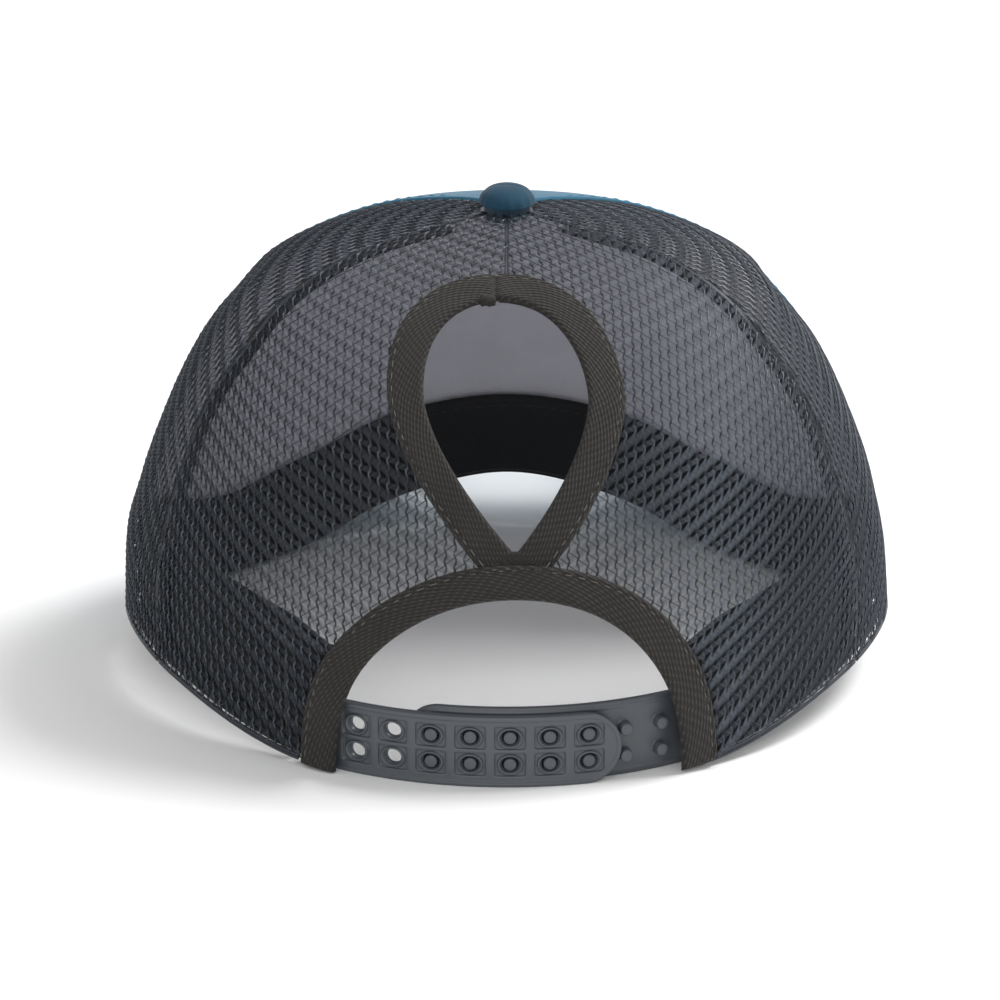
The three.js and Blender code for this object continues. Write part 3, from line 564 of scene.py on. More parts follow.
# Painted highlight on the floats: a lighter yarn tone on all of them, raised over a stretch beside the
# openings, more on the right back panel than the left
FLOAT_PAINTED_HIGHLIGHT = 0.13
HIGHLIGHT_PAINT_PLACE = 36
HIGHLIGHT_PAINT_REACH = 18
HIGHLIGHT_PAINT_LEFT = 0.12
HIGHLIGHT_PAINT_RIGHT = 0.5
BACK_NET_MIDDLE = 6.0
BACK_NET_REACH = (-12.0, 105.0)
SIDE_NET_MIDDLE = 90.0
SIDE_NET_REACH = (-75.0, 75.0)
PILLAR_DEPTH = 0.12
PILLAR_LIFT = 0.10
# Painted highlight on the raised stretches of the pillars
PILLAR_PAINTED_HIGHLIGHT = 0.3
LADDER_OFFSETS = (-0.54, -0.18, 0.18, 0.54)
LADDER_BOW = 0.6
BUNDLE_OFFSETS = (-0.66, -0.22, 0.22, 0.66)
BUNDLE_BOW = 0.22
ARM_OFFSET = 0.1
ARM_SLOPE = 0.75
ARM_RADIUS = 0.12
NET_SEAM_GAP = 0.2
TAPE_OVERLAP = 0.6
HEM_RADIUS = 0.45
HEM_DEPTH = 0.1
HEM_LEVELS = (0.002, 0.007)
SEAM_CORD_RADIUS = 0.3
SEAM_CORD_DEPTH = 0.25
SEAM_CORD_SHIFT = 0.35


def knit_net(middle, reach, side, inside, painted_highlight):
    """The yarns of one panel. Pillars stand at x = (k + 1/2) pitch, holes at y = climb k + hole pitch j,
    where x and y are lengths along the cloth from the middle angle and the rim. Pillars weave away from
    the holes beside them; even rows of holes are parted by ladders, odd rows by bundles of long floats,
    which carry a painted highlight, strongest over a stretch beside the openings."""
    top = lengths_up(middle)[-1]
    face = 1 if side < 0 else -1
    columns = np.arange(math.floor(reach[0] / PILLAR_PITCH) - 2, math.ceil(reach[1] / PILLAR_PITCH) + 3)
    parts = []

    def run(x, y, distance, radius, tone=0.0):
        """Adds yarns of one kind, from lengths along the cloth to points on the crown."""
        x, y, distance, tone = np.broadcast_arrays(x + PILLAR_LEAN * y, y, distance, tone)
        shown = (y > 0) & (y < top) & (x > reach[0]) & (x < reach[1])
        angle, level = cloth_place(side * x, np.clip(y, 0, top), side * middle)
        kept = shown & inside(angle * side, level)
        rows = kept.any(axis=1)
        angle, level, kept, distance, tone = (a[rows] for a in (angle, level, kept, distance, tone))
        normal = crown_normal(angle, level)
        points = on_crown(angle, level, distance)
        parts.append(tube_part(points, normal, kept, radius, 3, tone))

    # Pillars: two yarns twisted round each other, swaying once for each hole, raised beside the ladders,
    # where their colour is painted lighter as a painted highlight
    steps = np.arange(0, top, HOLE_PITCH / 5)
    pillar = columns[:, None] + 0.5
    phase = 2 * np.pi * (steps[None, :] - ROW_CLIMB * columns[:, None]) / HOLE_PITCH
    part_turn = 2 * np.pi * ROW_CLIMB / HOLE_PITCH
    swing = np.interp(phase % (2 * np.pi), (0, part_turn, 2 * np.pi), (0, np.pi, 2 * np.pi))
    sway = PILLAR_SWAY * np.cos(swing)
    tick = np.maximum(np.cos(phase / 2), 0) ** 2
    for half_turn in (0, np.pi):
        twist = phase + half_turn
        x = pillar * PILLAR_PITCH + sway + PILLAR_TWIST * np.sin(twist)
        distance = PILLAR_DEPTH * np.cos(twist) + PILLAR_LIFT * face + PILLAR_DEPTH * tick
        run(x, steps[None, :], distance, PILLAR_YARN_RADIUS, PILLAR_PAINTED_HIGHLIGHT * tick)

    # Floats: a ladder over each even row, a bundle over each odd row, both with a painted highlight, the
    # ladders' at 0.7 of the bundles'
    pairs = np.arange(-40, int(top / HOLE_PITCH / 2) + 40)
    k, j = (grid.ravel()[:, None] for grid in np.meshgrid(columns, pairs, indexing="ij"))
    row_y = ROW_CLIMB * k + 2 * HOLE_PITCH * j
    on_panel = ((row_y > -4) & (row_y < top + 4)).ravel()
    k = k[on_panel]
    row_y = row_y[on_panel]
    float_painted_highlight = FLOAT_PAINTED_HIGHLIGHT + painted_highlight * hump(k * PILLAR_PITCH, HIGHLIGHT_PAINT_PLACE, HIGHLIGHT_PAINT_REACH)
    across = np.linspace(-0.5, 0.5, 3)[None, :]
    for offset in LADDER_OFFSETS:
        y = row_y + offset + LADDER_SLOPE * PILLAR_PITCH * across
        bow = -face * FLOAT_DEPTH * (1 - (2 * across) ** 2 * LADDER_BOW)
        run((k + across) * PILLAR_PITCH, y, bow, FLOAT_RADIUS, 0.7 * float_painted_highlight)
    across = np.linspace(-0.5, 1.5, 4)[None, :]
    for offset in BUNDLE_OFFSETS:
        middle_y = row_y + HOLE_PITCH + ROW_CLIMB / 2 + offset
        y = middle_y + FLOAT_SLOPE * PILLAR_PITCH * (across - 0.5)
        bow = -face * (FLOAT_DEPTH + PILLAR_DEPTH - BUNDLE_BOW * (across - 0.5) ** 2)
        run((k + across) * PILLAR_PITCH, y, bow, FLOAT_RADIUS, float_painted_highlight)

    # Arms: the pillar's own loops reach across to the next pillar under each row
    across = np.linspace(-0.5, 0.5, 3)[None, :]
    for row in (0, HOLE_PITCH):
        y = row_y + row + ARM_OFFSET - ARM_SLOPE * PILLAR_PITCH * across
        run((k + across) * PILLAR_PITCH, y, face * PILLAR_DEPTH, ARM_RADIUS)
    return parts


def cord(angle, level, distance, radius):
    """One cord along a line of places on the crown."""
    points = on_crown(angle, level, np.broadcast_to(distance, angle.shape))[None]
    kept = np.ones(points.shape[:2], bool)
    return tube_part(points, crown_normal(angle, level)[None], kept, radius, 6)


def seam_angle(seam, level):
    """Angle of a seam at a level."""
    return smooth_curve(*seam, level)


def millimetres_round(length, level):
    """A short length round the crown at a level, as an angle."""
    return np.degrees(length / np.maximum(smooth_curve(CROWN_LEVELS, CROWN_REACH["half"], level), 5))


# The openings on the back
# Their outlines are in lengths across and up the cloth, from a middle line that leans a little.
LEAN_HEIGHTS = (0, 25, 50, 85, 118, 140)
LEAN_SHIFTS = (0.4, 0.6, 1.9, 0.1, -1.8, 0)
ARCH_HALF_WIDTH = 39.4
ARCH_HEIGHT = 44
ARCH_SQUARENESS = 2.1
ARCH_TAPE_WIDTH = 8.0
DROP_HALF_WIDTH = 18.6
DROP_WIDEST_HEIGHT = 90
DROP_BOTTOM_HEIGHT = 54.2
DROP_TOP_HEIGHT = 116.3
DROP_TAPER = 1.62
DROP_TAPE_WIDTH = 8.4
DROP_POINT_HALF_WIDTH = 0.7
height_up_back = lengths_up(0)


def arch_outline(count):
    """Inner edge of the arch: |x/half|^p + |y/height|^p = 1, from the right foot over the top."""
    turn = np.radians(np.linspace(0, 180, count))
    x = ARCH_HALF_WIDTH * np.sign(np.cos(turn)) * np.abs(np.cos(turn)) ** (2 / ARCH_SQUARENESS)
    y = ARCH_HEIGHT * np.abs(np.sin(turn)) ** (2 / ARCH_SQUARENESS)
    return joined(x, y)


def drop_outline(taper_count, round_count):
    """Inner edge of the ponytail opening, from its foot up the right side and down the left: a taper
    x = half (1 - s^taper) below the widest height and half an ellipse above it."""
    foot = (1 - DROP_POINT_HALF_WIDTH / DROP_HALF_WIDTH) ** (1 / DROP_TAPER)
    share = np.linspace(foot, 0, taper_count)
    right = joined(
        DROP_HALF_WIDTH * (1 - share**DROP_TAPER),
        DROP_WIDEST_HEIGHT - (DROP_WIDEST_HEIGHT - DROP_BOTTOM_HEIGHT) * share,
    )
    turn = np.radians(np.linspace(0, 180, round_count))[1:-1]
    over = joined(
        DROP_HALF_WIDTH * np.cos(turn),
        DROP_WIDEST_HEIGHT + (DROP_TOP_HEIGHT - DROP_WIDEST_HEIGHT) * np.sin(turn),
    )
    return np.concatenate([right, over, right[::-1] * [-1, 1]])


def offset_outline(points, distance):
    """Each point of an outline moved outward, square to the line between its neighbours."""
    run = unit(np.gradient(points, axis=0))
    return points + joined(run[:, 1], -run[:, 0]) * distance


def back_place(across, height):
    """Angle and level of pattern lengths on the back, across from its leaning middle line and up."""
    level = np.interp(height, height_up_back, LENGTH_LEVELS)
    x = across + smooth_curve(LEAN_HEIGHTS, LEAN_SHIFTS, height)
    power = squareness(level)
    share = np.minimum(np.abs(x) / smooth_curve(CROWN_LEVELS, CROWN_REACH["half"], level), 1)
    angle = np.degrees(np.arctan2(share, (1 - share**power) ** (1 / power)))
    return np.sign(x) * angle, level


arch_edge = offset_outline(arch_outline(181), ARCH_TAPE_WIDTH - TAPE_OVERLAP)
drop_edge = offset_outline(drop_outline(60, 91), DROP_TAPE_WIDTH - TAPE_OVERLAP)
arch_right = arch_edge[:91][np.argsort(arch_edge[:91, 1])]
drop_right = drop_edge[drop_edge[:, 0] >= 0]
drop_right = drop_right[np.argsort(drop_right[:, 1])]


def clear_of_openings(angle, level):
    """Whether places on the back lie outside both openings and their tapes."""
    height = np.interp(level, LENGTH_LEVELS, height_up_back)
    across = crown_point(angle, level)[..., 0] - smooth_curve(LEAN_HEIGHTS, LEAN_SHIFTS, height)
    arch = np.interp(height, arch_right[:, 1], arch_right[:, 0], left=99, right=0)
    drop = np.interp(height, drop_right[:, 1], drop_right[:, 0], left=0, right=0)
    return np.abs(across) > np.maximum(arch, drop)


def back_inside(side):
    """Test for places on one back panel, given as angles that grow from the middle to its side."""
    def test(angle, level):
        seam = seam_angle(BACK_SEAM, level) - millimetres_round(NET_SEAM_GAP, level)
        return (angle > 0) & (angle < seam) & clear_of_openings(side * angle, level)
    return test


def side_inside(angle, level):
    """Whether places lie on a side panel, given as angles that grow from the back to the front."""
    gap = millimetres_round(NET_SEAM_GAP, level)
    low = seam_angle(BACK_SEAM, level) + gap
    high = seam_angle(FRONT_SEAM, level) - gap
    return (angle > low) & (angle < high)


def rim_cords(from_angle, to_angle, side):
    """The turned-in lower edge of a panel: two cords along the rim."""
    angle = side * np.linspace(from_angle, to_angle, 90)
    return [cord(angle, np.full_like(angle, level), -HEM_DEPTH, HEM_RADIUS) for level in HEM_LEVELS]


def seam_cord(seam, beyond, side):
    """The folded edge of a panel beside a seam, beyond it (1) or before it (-1)."""
    level = np.linspace(HEM_LEVELS[0], TOP_LEVEL, 160)
    angle = side * (seam_angle(seam, level) + millimetres_round(beyond * SEAM_CORD_SHIFT, level))
    return cord(angle, level, -SEAM_CORD_DEPTH, SEAM_CORD_RADIUS)


# The yarn's own dark slate, blended by tone towards a light grey that is a painted highlight
yarn_material, tree, principled = new_material("net_yarn")
feed(tree, principled, {
    "Base Color": toned(tree, color(0x21262E), color(0x8C95A1)),
    "Roughness": 0.33,
    "Specular IOR Level": 0.5,
})

# The rim cords run from the arch's foot to the back seam and from there to the front seam, in degrees
HEM_GAP = 0.4
hem_start = math.degrees(math.asin((ARCH_HALF_WIDTH + ARCH_TAPE_WIDTH) / CROWN_REACH["half"][0])) + 1
hem_middle = BACK_SEAM[1][0]
hem_end = FRONT_SEAM[1][0]
MIDDLE_SEAM_LEVEL = 0.81
# The back panels' floats get the painted highlight beside the openings, stronger on the right; the side
# panels get only its even base
for label, side, painted_highlight in (("left", -1, HIGHLIGHT_PAINT_LEFT), ("right", 1, HIGHLIGHT_PAINT_RIGHT)):
    parts = knit_net(BACK_NET_MIDDLE, BACK_NET_REACH, side, back_inside(side), painted_highlight)
    parts += rim_cords(hem_start, hem_middle - HEM_GAP, side) + [seam_cord(BACK_SEAM, -1, side)]
    level = np.linspace(MIDDLE_SEAM_LEVEL, TOP_LEVEL, 60)
    parts.append(cord(side * millimetres_round(0.3, level), level, -SEAM_CORD_DEPTH, SEAM_CORD_RADIUS))
    dress(f"back_net_{label}", parts, yarn_material, f"back_mesh_{label}")
    parts = knit_net(SIDE_NET_MIDDLE, SIDE_NET_REACH, side, side_inside, 0.0)
    parts += rim_cords(hem_middle + HEM_GAP, hem_end - HEM_GAP, side)
    parts += [seam_cord(BACK_SEAM, 1, side), seam_cord(FRONT_SEAM, -1, side)]
    dress(f"side_net_{label}", parts, yarn_material, f"side_mesh_{label}")


# The front panel and the peak
# The front is one firm teal cloth, backed so that it stands smooth, with its edges turned in at the seams.
# The peak is a bent board between two teal cloths, held by rows of stitching along its edge.
SEAM_GAP = 0.225
FRONT_HALF_THICKNESS = 0.8
FRONT_STITCH_INSET = 2.2
GROOVE_DEPTH = 0.16
teal_cloth = cloth_material("front_teal", 0x2A5F78, 0x3D7C96, 0.42, bump=0.35, sheen=0.25)


def between_front_seams(rows, columns, low, high, inset):
    """Places between the two front seams from one level to another, held in by an angle."""
    level = np.repeat(np.linspace(low, high, rows)[:, None], columns, axis=1)
    start = seam_angle(FRONT_SEAM, level) + millimetres_round(SEAM_GAP, level) + inset
    return start + (360 - 2 * start) * eased(columns)[None, :], level


angle, level = between_front_seams(80, 120, 0.0, TOP_LEVEL, 0)
across, up = cloth_lengths(angle, level)
from_seam = np.minimum(across - across[:, :1], across[:, -1:] - across)
groove = GROOVE_DEPTH * hump(from_seam, FRONT_STITCH_INSET, 0.5)
front_parts = [cloth_wall(angle, level, FRONT_HALF_THICKNESS, -FRONT_HALF_THICKNESS, 0.7, groove)]
line = np.linspace(0.02, 0.93, 200)
for turn in (1, -1):
    inset = millimetres_round(SEAM_GAP + FRONT_STITCH_INSET, line)
    beside = turn * (seam_angle(FRONT_SEAM, line) + inset)
    front_parts.append(crown_stitches(beside, line, FRONT_HALF_THICKNESS - 0.1))
front = dress("front_cloth", front_parts, teal_cloth, "front_panel")

PEAK_HALF_THICKNESS = 1.5
PEAK_ROOT_HALF_ANGLE = 57
PEAK_EDGE_HALF_ANGLE = 88
PEAK_HALF_WIDTH = 82
PEAK_EDGE_CENTER_Y = 52
PEAK_EDGE_REACH = 106
PEAK_CREST = 19
PEAK_ROOT_GAP = 0.9
PEAK_STITCH_ROWS = (3.0, 10.0, 17.0, 24.0, 31.0, 38.0, 45.0)


def peak_point(turn, share):
    """Millimetre points of the peak's middle surface, from the front rim (share 0) to its edge (1)."""
    turn, share = np.broadcast_arrays(turn, share)
    angle = 180 - turn * PEAK_ROOT_HALF_ANGLE
    root = crown_point(angle, 0 * angle) + PEAK_ROOT_GAP * crown_normal(angle, 0 * angle)
    folded = np.minimum(angle % 360, 360 - angle % 360)
    root[..., 2] = smooth_curve(RIM_ANGLES, RIM_HEIGHTS, folded) + PEAK_HALF_THICKNESS
    bend = np.radians(turn * PEAK_EDGE_HALF_ANGLE)
    edge = joined(
        PEAK_HALF_WIDTH * np.sin(bend),
        PEAK_EDGE_CENTER_Y + PEAK_EDGE_REACH * np.cos(bend),
        PEAK_HALF_THICKNESS + PEAK_CREST * np.cos(bend) ** 2,
    )
    return root + (edge - root) * share[..., None]


def peak_places(points, lift):
    """Metre points lifted from the peak's middle surface."""
    raised = points.copy()
    raised[..., 2] += lift
    return raised * MM + CROWN_SHIFT


# A grid whose rows lie closer together towards the peak's edge
turn = np.linspace(-1, 1, 141)[None, :]
share = 1 - (1 - np.linspace(0, 1, 71)[:, None]) ** 1.25
middle = peak_point(turn, share)
outward = run_lengths(middle, 0)
inward = outward[-1:] - outward
groove = sum(GROOVE_DEPTH * hump(inward, row, 0.55) for row in PEAK_STITCH_ROWS)
across = run_lengths(middle, 1)
to_side = np.minimum(across, across[:, -1:] - across)
lift = PEAK_HALF_THICKNESS * edge_share(np.minimum(inward, to_side), PEAK_HALF_THICKNESS) - groove
uv = joined(across - across[:, 70:71], inward)
peak_parts = [wall_part(peak_places(middle, lift), peak_places(middle, -lift), uv)]
turns = np.linspace(-1, 1, 500)
reaches = run_lengths(peak_point(turns[None, :], np.linspace(0, 1, 3)[:, None]), 0)[-1]
for row in PEAK_STITCH_ROWS:
    held = reaches > row + 6
    places = peak_point(turns[held], 1 - row / reaches[held])
    for facing in (1, -1):
        normals = np.tile([0.0, 0.0, facing], (len(places), 1))
        thread = peak_places(places, facing * (PEAK_HALF_THICKNESS - 0.14))
        peak_parts.append(stitches(thread, normals))
dress("peak_cloth", peak_parts, teal_cloth, "peak")


# The lining, the seam tapes and the sweatband
# A grey stiff cloth lines the front. Dark tapes cover the back seams inside. A black band runs round the
# inside of the rim from one leg of the arch to the other, its ends slanting up towards the arch.
LINING_DEPTH = 1.4
LINING_THICKNESS = 1.0
LINING_INSET_ANGLE = 0.5
LINING_LEVELS = np.interp((10, 138), height_up_back, LENGTH_LEVELS)
SEAM_TAPE_DEPTH = 1.35
SEAM_TAPE_THICKNESS = 1.0
SEAM_TAPE_WIDTH = 7
SEAM_TAPE_SHIFT = 1.5
SEAM_TAPE_LEVELS = (0.03, 0.95)
SEAM_TAPE_WIDEST_ANGLE = 12
SWEATBAND_DEPTH = 3.3
SWEATBAND_THICKNESS = 1.2
SWEATBAND_START_ANGLE = 33.5
SWEATBAND_SLANT_ANGLE = 6
SWEATBAND_SLANT_SHARE = 0.66
SWEATBAND_TURNS = (27, 36, 60, 95, 125, 143, 160, 200)
SWEATBAND_LOW = (0.8, 0.8, 0.8, 0.8, 0.8, 1.5, 3.0, 3.0)
SWEATBAND_TOP = (28.5, 33.0, 31.0, 26.0, 22.5, 27.0, 28.5, 28.5)
SWEATBAND_STITCH = 3.5
SWEATBAND_STITCH_SHARE = 0.87

lining_cloth = cloth_material("lining_grey", 0xB4B4BE, 0xC0C0C8, 0.5, bump=0.3, sheen=0.1)
angle, level = between_front_seams(70, 110, *LINING_LEVELS, LINING_INSET_ANGLE)
lining_wall = cloth_wall(angle, level, -LINING_DEPTH, -LINING_DEPTH - LINING_THICKNESS, 0.5)
lining = dress("lining_cloth", [lining_wall], lining_cloth, "front_lining")

dark_tape = cloth_material("seam_tape_dark", 0x24262B, 0x34373D, 0.5, bump=0.5)
for label, side in (("left", -1), ("right", 1)):
    level = np.repeat(np.linspace(*SEAM_TAPE_LEVELS, 120)[:, None], 15, axis=1)
    middle = seam_angle(BACK_SEAM, level) + millimetres_round(SEAM_TAPE_SHIFT, level)
    reach = np.minimum(millimetres_round(SEAM_TAPE_WIDTH / 2, level), SEAM_TAPE_WIDEST_ANGLE)
    angle = side * (middle + reach * (2 * eased(15)[None, :] - 1))
    tape = cloth_wall(angle, level, -SEAM_TAPE_DEPTH, -SEAM_TAPE_DEPTH - SEAM_TAPE_THICKNESS, 0.4)
    dress(f"seam_tape_cloth_{label}", [tape], dark_tape, f"seam_tape_{label}")


def sweatband_place(share, along):
    """Angle and level at a share of the band's height and a share of its way round."""
    slant = np.maximum((share - SWEATBAND_SLANT_SHARE) / (1 - SWEATBAND_SLANT_SHARE), 0)
    start = SWEATBAND_START_ANGLE - SWEATBAND_SLANT_ANGLE * slant
    angle = start + (360 - 2 * start) * along
    turn = np.minimum(angle, 360 - angle)
    low = smooth_curve(SWEATBAND_TURNS, SWEATBAND_LOW, turn)
    top = smooth_curve(SWEATBAND_TURNS, SWEATBAND_TOP, turn)
    return angle, level_after(angle, 0.0, low + (top - low) * share)


band_cloth = cloth_material("band_black", 0x111316, 0x1D2024, 0.45, bump=0.4, sheen=0.15)
share, along = np.broadcast_arrays(eased(26)[:, None], eased(200)[None, :])
angle, level = sweatband_place(share, along)
_, height = cloth_lengths(angle, level)
groove = 0.14 * hump(height[-1:] - height, SWEATBAND_STITCH, 0.5)
band_inside = -SWEATBAND_DEPTH - SWEATBAND_THICKNESS
band_parts = [cloth_wall(angle, level, -SWEATBAND_DEPTH, band_inside, 0.6, groove)]
line = np.linspace(0.02, 0.98, 600)
angle, level = sweatband_place(np.full_like(line, SWEATBAND_STITCH_SHARE), line)
band_parts.append(crown_stitches(angle, level, band_inside))
# The band's lower edge is turned out and sewn behind the rim of the net, and beside the legs of the arch
FACING_OUTER = -1.25
FACING_INNER = -2.25
FACING_LOW = 0.3
FACING_HEIGHT = 5.5
FACING_END_ANGLE = 31.5
FACING_END_SLANT = 5
FACING_END_OVERLAP = 1.5
FACING_END_HEIGHT = 29.5
share, along = share_grid(8, 200)
angle = FACING_END_ANGLE + (360 - 2 * FACING_END_ANGLE) * along
level = level_after(angle, 0.0, FACING_LOW + (FACING_HEIGHT - FACING_LOW) * share)
band_parts.append(cloth_wall(angle, level, FACING_OUTER, FACING_INNER, 0.4))
share, along = share_grid(16, 9)
for side in (-1, 1):
    end = FACING_END_ANGLE - FACING_END_SLANT * share
    angle = side * (end + (SWEATBAND_START_ANGLE + FACING_END_OVERLAP - end) * along)
    level = level_after(angle, 0.0, FACING_LOW + FACING_END_HEIGHT * share)
    band_parts.append(cloth_wall(angle, level, FACING_OUTER - 0.02, FACING_INNER - 0.02, 0.4))
band = dress("sweatband_cloth", band_parts, band_cloth, "sweatband")


# The bindings
# One charcoal twill tape is folded over the edge of the ponytail opening, its ends meeting at the top, and
# another over the arch. Each is sewn down by a row of stitches near its outer edge.
BINDING_HALF_THICKNESS = 1.2
BINDING_SEAM = 1.3
BINDING_FOLD_RADIUS = 1.1
BINDING_EDGE_RADIUS = 0.7
BINDING_GROOVE = 0.24
BINDING_TUCK = 1.6
BINDING_TUCK_DEPTH = 0.9
BINDING_TUCK_REACH = 5
ARCH_SLANT = 0.25
DROP_SLANT = 0.32
# The tape's twill is painted lighter on its ribs and glints and darker in its grooves: painted highlight and
# painted shade
twill_tape = cloth_material("binding_twill", 0x2B2927, 0x5E5A55, 0.78, twill_slope=-1.0, bump=1.0, depth=0.3,
                            roughness=0.85, sheen=0.05, mottle=0.25, painted_glint_gain=0.9)


def binding_parts(inner, outer, width, ring, slant, joins=(0,), tuck=None):
    """A folded tape between two outlines in lengths across and up the back. Its section runs over the
    outer face, round the fold at its inner edge and back; a dimpled groove holds its stitches. The ribs
    slant by a slope that turns over at the first join."""
    over = np.linspace(0, 1, 25)
    under = np.linspace(1, 0, 13)[1:-1]
    share = np.concatenate([over, under])[:, None]
    facing = np.concatenate([np.ones(25), -np.ones(11)])[:, None]
    across, height = (inner[None, :, i] + (outer - inner)[None, :, i] * share for i in (0, 1))
    angle, level = back_place(across, np.maximum(height, 0))
    middle = (inner + outer) / 2
    along = run_lengths(middle, 0)[None, :]
    from_outer = (1 - share) * width
    body = BINDING_HALF_THICKNESS * edge_share(share * width, BINDING_FOLD_RADIUS)
    body = body * edge_share(from_outer, BINDING_EDGE_RADIUS)
    puckers = 0.6 + 0.4 * np.cos(2 * np.pi * along / STITCH_PITCH)
    groove = BINDING_GROOVE * hump(from_outer, BINDING_SEAM, 0.45) * puckers
    swell = 0.07 * np.sin(along / 6.1 + share * 2) + 0.06 * np.sin(along / 2.7 - share * 5)
    join = sum(hump(along, place, 0.5) for place in joins)
    distance = facing * np.maximum(body + (swell - groove - join) * np.minimum(body, 1), 0.03)
    if tuck is not None:
        near = np.clip(1 - (height - tuck(across)) / BINDING_TUCK_REACH, 0, 1)
        distance = distance - BINDING_TUCK_DEPTH * near
    points = on_crown(angle, level, distance)
    section = np.cumsum(np.concatenate([[0], np.abs(np.diff(share[:, 0]))])) * width
    uv = joined(slant * np.abs(along - joins[0]), section[:, None])
    rows, columns = angle.shape
    number = np.arange(rows * columns).reshape(rows, columns)
    below = np.roll(number, -1, axis=0)
    after = np.roll(number, -1, axis=1)
    both = np.roll(below, -1, axis=1)
    last = columns if ring else columns - 1
    quads = joined(number, after, both, below)[:, :last].reshape(-1, 4)
    caps = [] if ring else [number[:, 0][None, :], number[:, -1][None, ::-1]]
    seam_share = 1 - BINDING_SEAM / width
    line = inner + (outer - inner) * seam_share
    angle, level = back_place(line[:, 0], np.maximum(line[:, 1], 0))
    thread = crown_stitches(angle, level, BINDING_HALF_THICKNESS - 0.2, radius=0.13, length=1.7)
    return [make_part(points, [quads, *caps], uv), thread]


arch_inner = arch_outline(301)
arch_outer = offset_outline(arch_inner, ARCH_TAPE_WIDTH)
arch_outer[[0, -1], 1] = 0
arch_parts = binding_parts(arch_inner, arch_outer, ARCH_TAPE_WIDTH, False, ARCH_SLANT)
# A short loose end of thread at the foot of the right leg
run = np.linspace(0, 1, 12)
angle, level = back_place(46.0 + 2.6 * run, 2.2 - 1.4 * run + 0.9 * np.sin(3 * run))
arch_parts.append(cord(angle, level, 1.0 + 1.1 * np.sin(2.4 * run), 0.12))
dress("arch_tape", arch_parts, twill_tape, "arch_binding")


def arch_top(across):
    """Height of the arch tape's outer edge at a distance across."""
    half = arch_outer[:151][::-1]
    return np.interp(np.abs(across), half[:, 0], half[:, 1])


drop_inner = drop_outline(90, 121)
drop_outer = offset_outline(drop_inner, DROP_TAPE_WIDTH)
foot = np.linspace(-1, 1, 15)[1:-1, None]
foot_inner = np.concatenate([foot * DROP_POINT_HALF_WIDTH, np.full_like(foot, drop_inner[0, 1])], axis=1)
foot_outer = np.concatenate([foot * DROP_TAPE_WIDTH, np.zeros_like(foot)], axis=1)
drop_inner = np.concatenate([foot_inner, drop_inner])
drop_outer = np.concatenate([foot_outer, drop_outer])
low = np.abs(drop_outer[:, 0]) < ARCH_HALF_WIDTH / 2
lowest = arch_top(drop_outer[:, 0]) - BINDING_TUCK
drop_outer[:, 1] = np.where(low, np.maximum(drop_outer[:, 1], lowest), drop_outer[:, 1])
top_join = run_lengths((drop_inner + drop_outer) / 2, 0)[len(foot) + 149] + 0.8
drop_parts = binding_parts(
    drop_inner, drop_outer, DROP_TAPE_WIDTH, True, DROP_SLANT, (top_join,), arch_top)
# The tape's cut end stands out as a small lump beside the join
LUMP_ACROSS = -2.8
LUMP_HEIGHT = 116.3
LUMP_HALF_WIDTH = 2.2
LUMP_HALF_HEIGHT = 1.5
round_it, over = np.meshgrid(np.linspace(0, 2 * np.pi, 24, endpoint=False), np.linspace(0.08, 3.06, 14))
rough = 1 + 0.16 * np.sin(5 * round_it + 3 * over) + 0.1 * np.sin(9 * round_it - 2 * over)
angle, level = back_place(LUMP_ACROSS + LUMP_HALF_WIDTH * rough * np.sin(over) * np.cos(round_it),
                          LUMP_HEIGHT + LUMP_HALF_HEIGHT * rough * np.sin(over) * np.sin(round_it))
drop_parts.append(ring_part(on_crown(angle, level, 0.4 + 1.3 * np.cos(over))))
dress("drop_tape", drop_parts, twill_tape, "ponytail_binding")


# The button
# A disc covered in the front's teal cloth, pulled tight over its rim, with a faint crease across the top.
# Its colour is the front's teal painted darker, a painted shade.
BUTTON_RADIUS = 6.7
BUTTON_HEIGHT = 4.4
BUTTON_BASE_Z = 113.1
BUTTON_FULLNESS = 0.75
BUTTON_STEM_RADIUS = 5.4
BUTTON_STEM_LENGTH = 3.6
BUTTON_PLEAT = 0.10
BUTTON_CREASE = 0.16
turn = np.linspace(0, 2 * np.pi, 96, endpoint=False)[None, :]
climb = np.radians(np.linspace(0, 89, 40))[:, None]
pleats = BUTTON_PLEAT * np.sin(17 * turn + 1.3 * np.sin(3 * turn)) * np.cos(climb) ** 6
radius = BUTTON_RADIUS * np.cos(climb) ** BUTTON_FULLNESS - BUTTON_PLEAT + pleats
crease = BUTTON_CREASE * hump(radius * np.sin(turn + 0.25), 0, 0.45) * np.sin(climb)
dome = joined(radius * np.cos(turn), radius * np.sin(turn), BUTTON_HEIGHT * np.sin(climb) - crease)
stem_height = np.array([-BUTTON_STEM_LENGTH, 0.0])[:, None]
stem = joined(BUTTON_STEM_RADIUS * np.cos(turn), BUTTON_STEM_RADIUS * np.sin(turn), stem_height)
rings = np.concatenate([stem, dome])
button = ring_part((rings + [0, 0, BUTTON_BASE_Z]) * MM + CROWN_SHIFT, rings[..., :2])
# The same teal cloth painted darker: painted shade
button_cloth = cloth_material("button_teal_painted_shade", 0x12384C, 0x1C4E66, 0.42, bump=0.35, sheen=0.1)
dress("button_cloth", [button], button_cloth, "crown_button")


# The snap strap
# Two moulded plastic straps. The one with the holes has a raised border and seven columns of two sunken
# cells, each with a raised ring round its hole. The other stands behind it with seven columns of pegs.
STRAP_RADIUS = 75.8
STRAP_CENTER_Y = -9.0
STRAP_END_ARC = 49
SNAP_COLUMNS = 7
SNAP_PITCH = 9.15
ROW_PITCH = 6.5
ROW_LOW = 2.15
CELL_ACROSS = 14
CELL_UP = 10


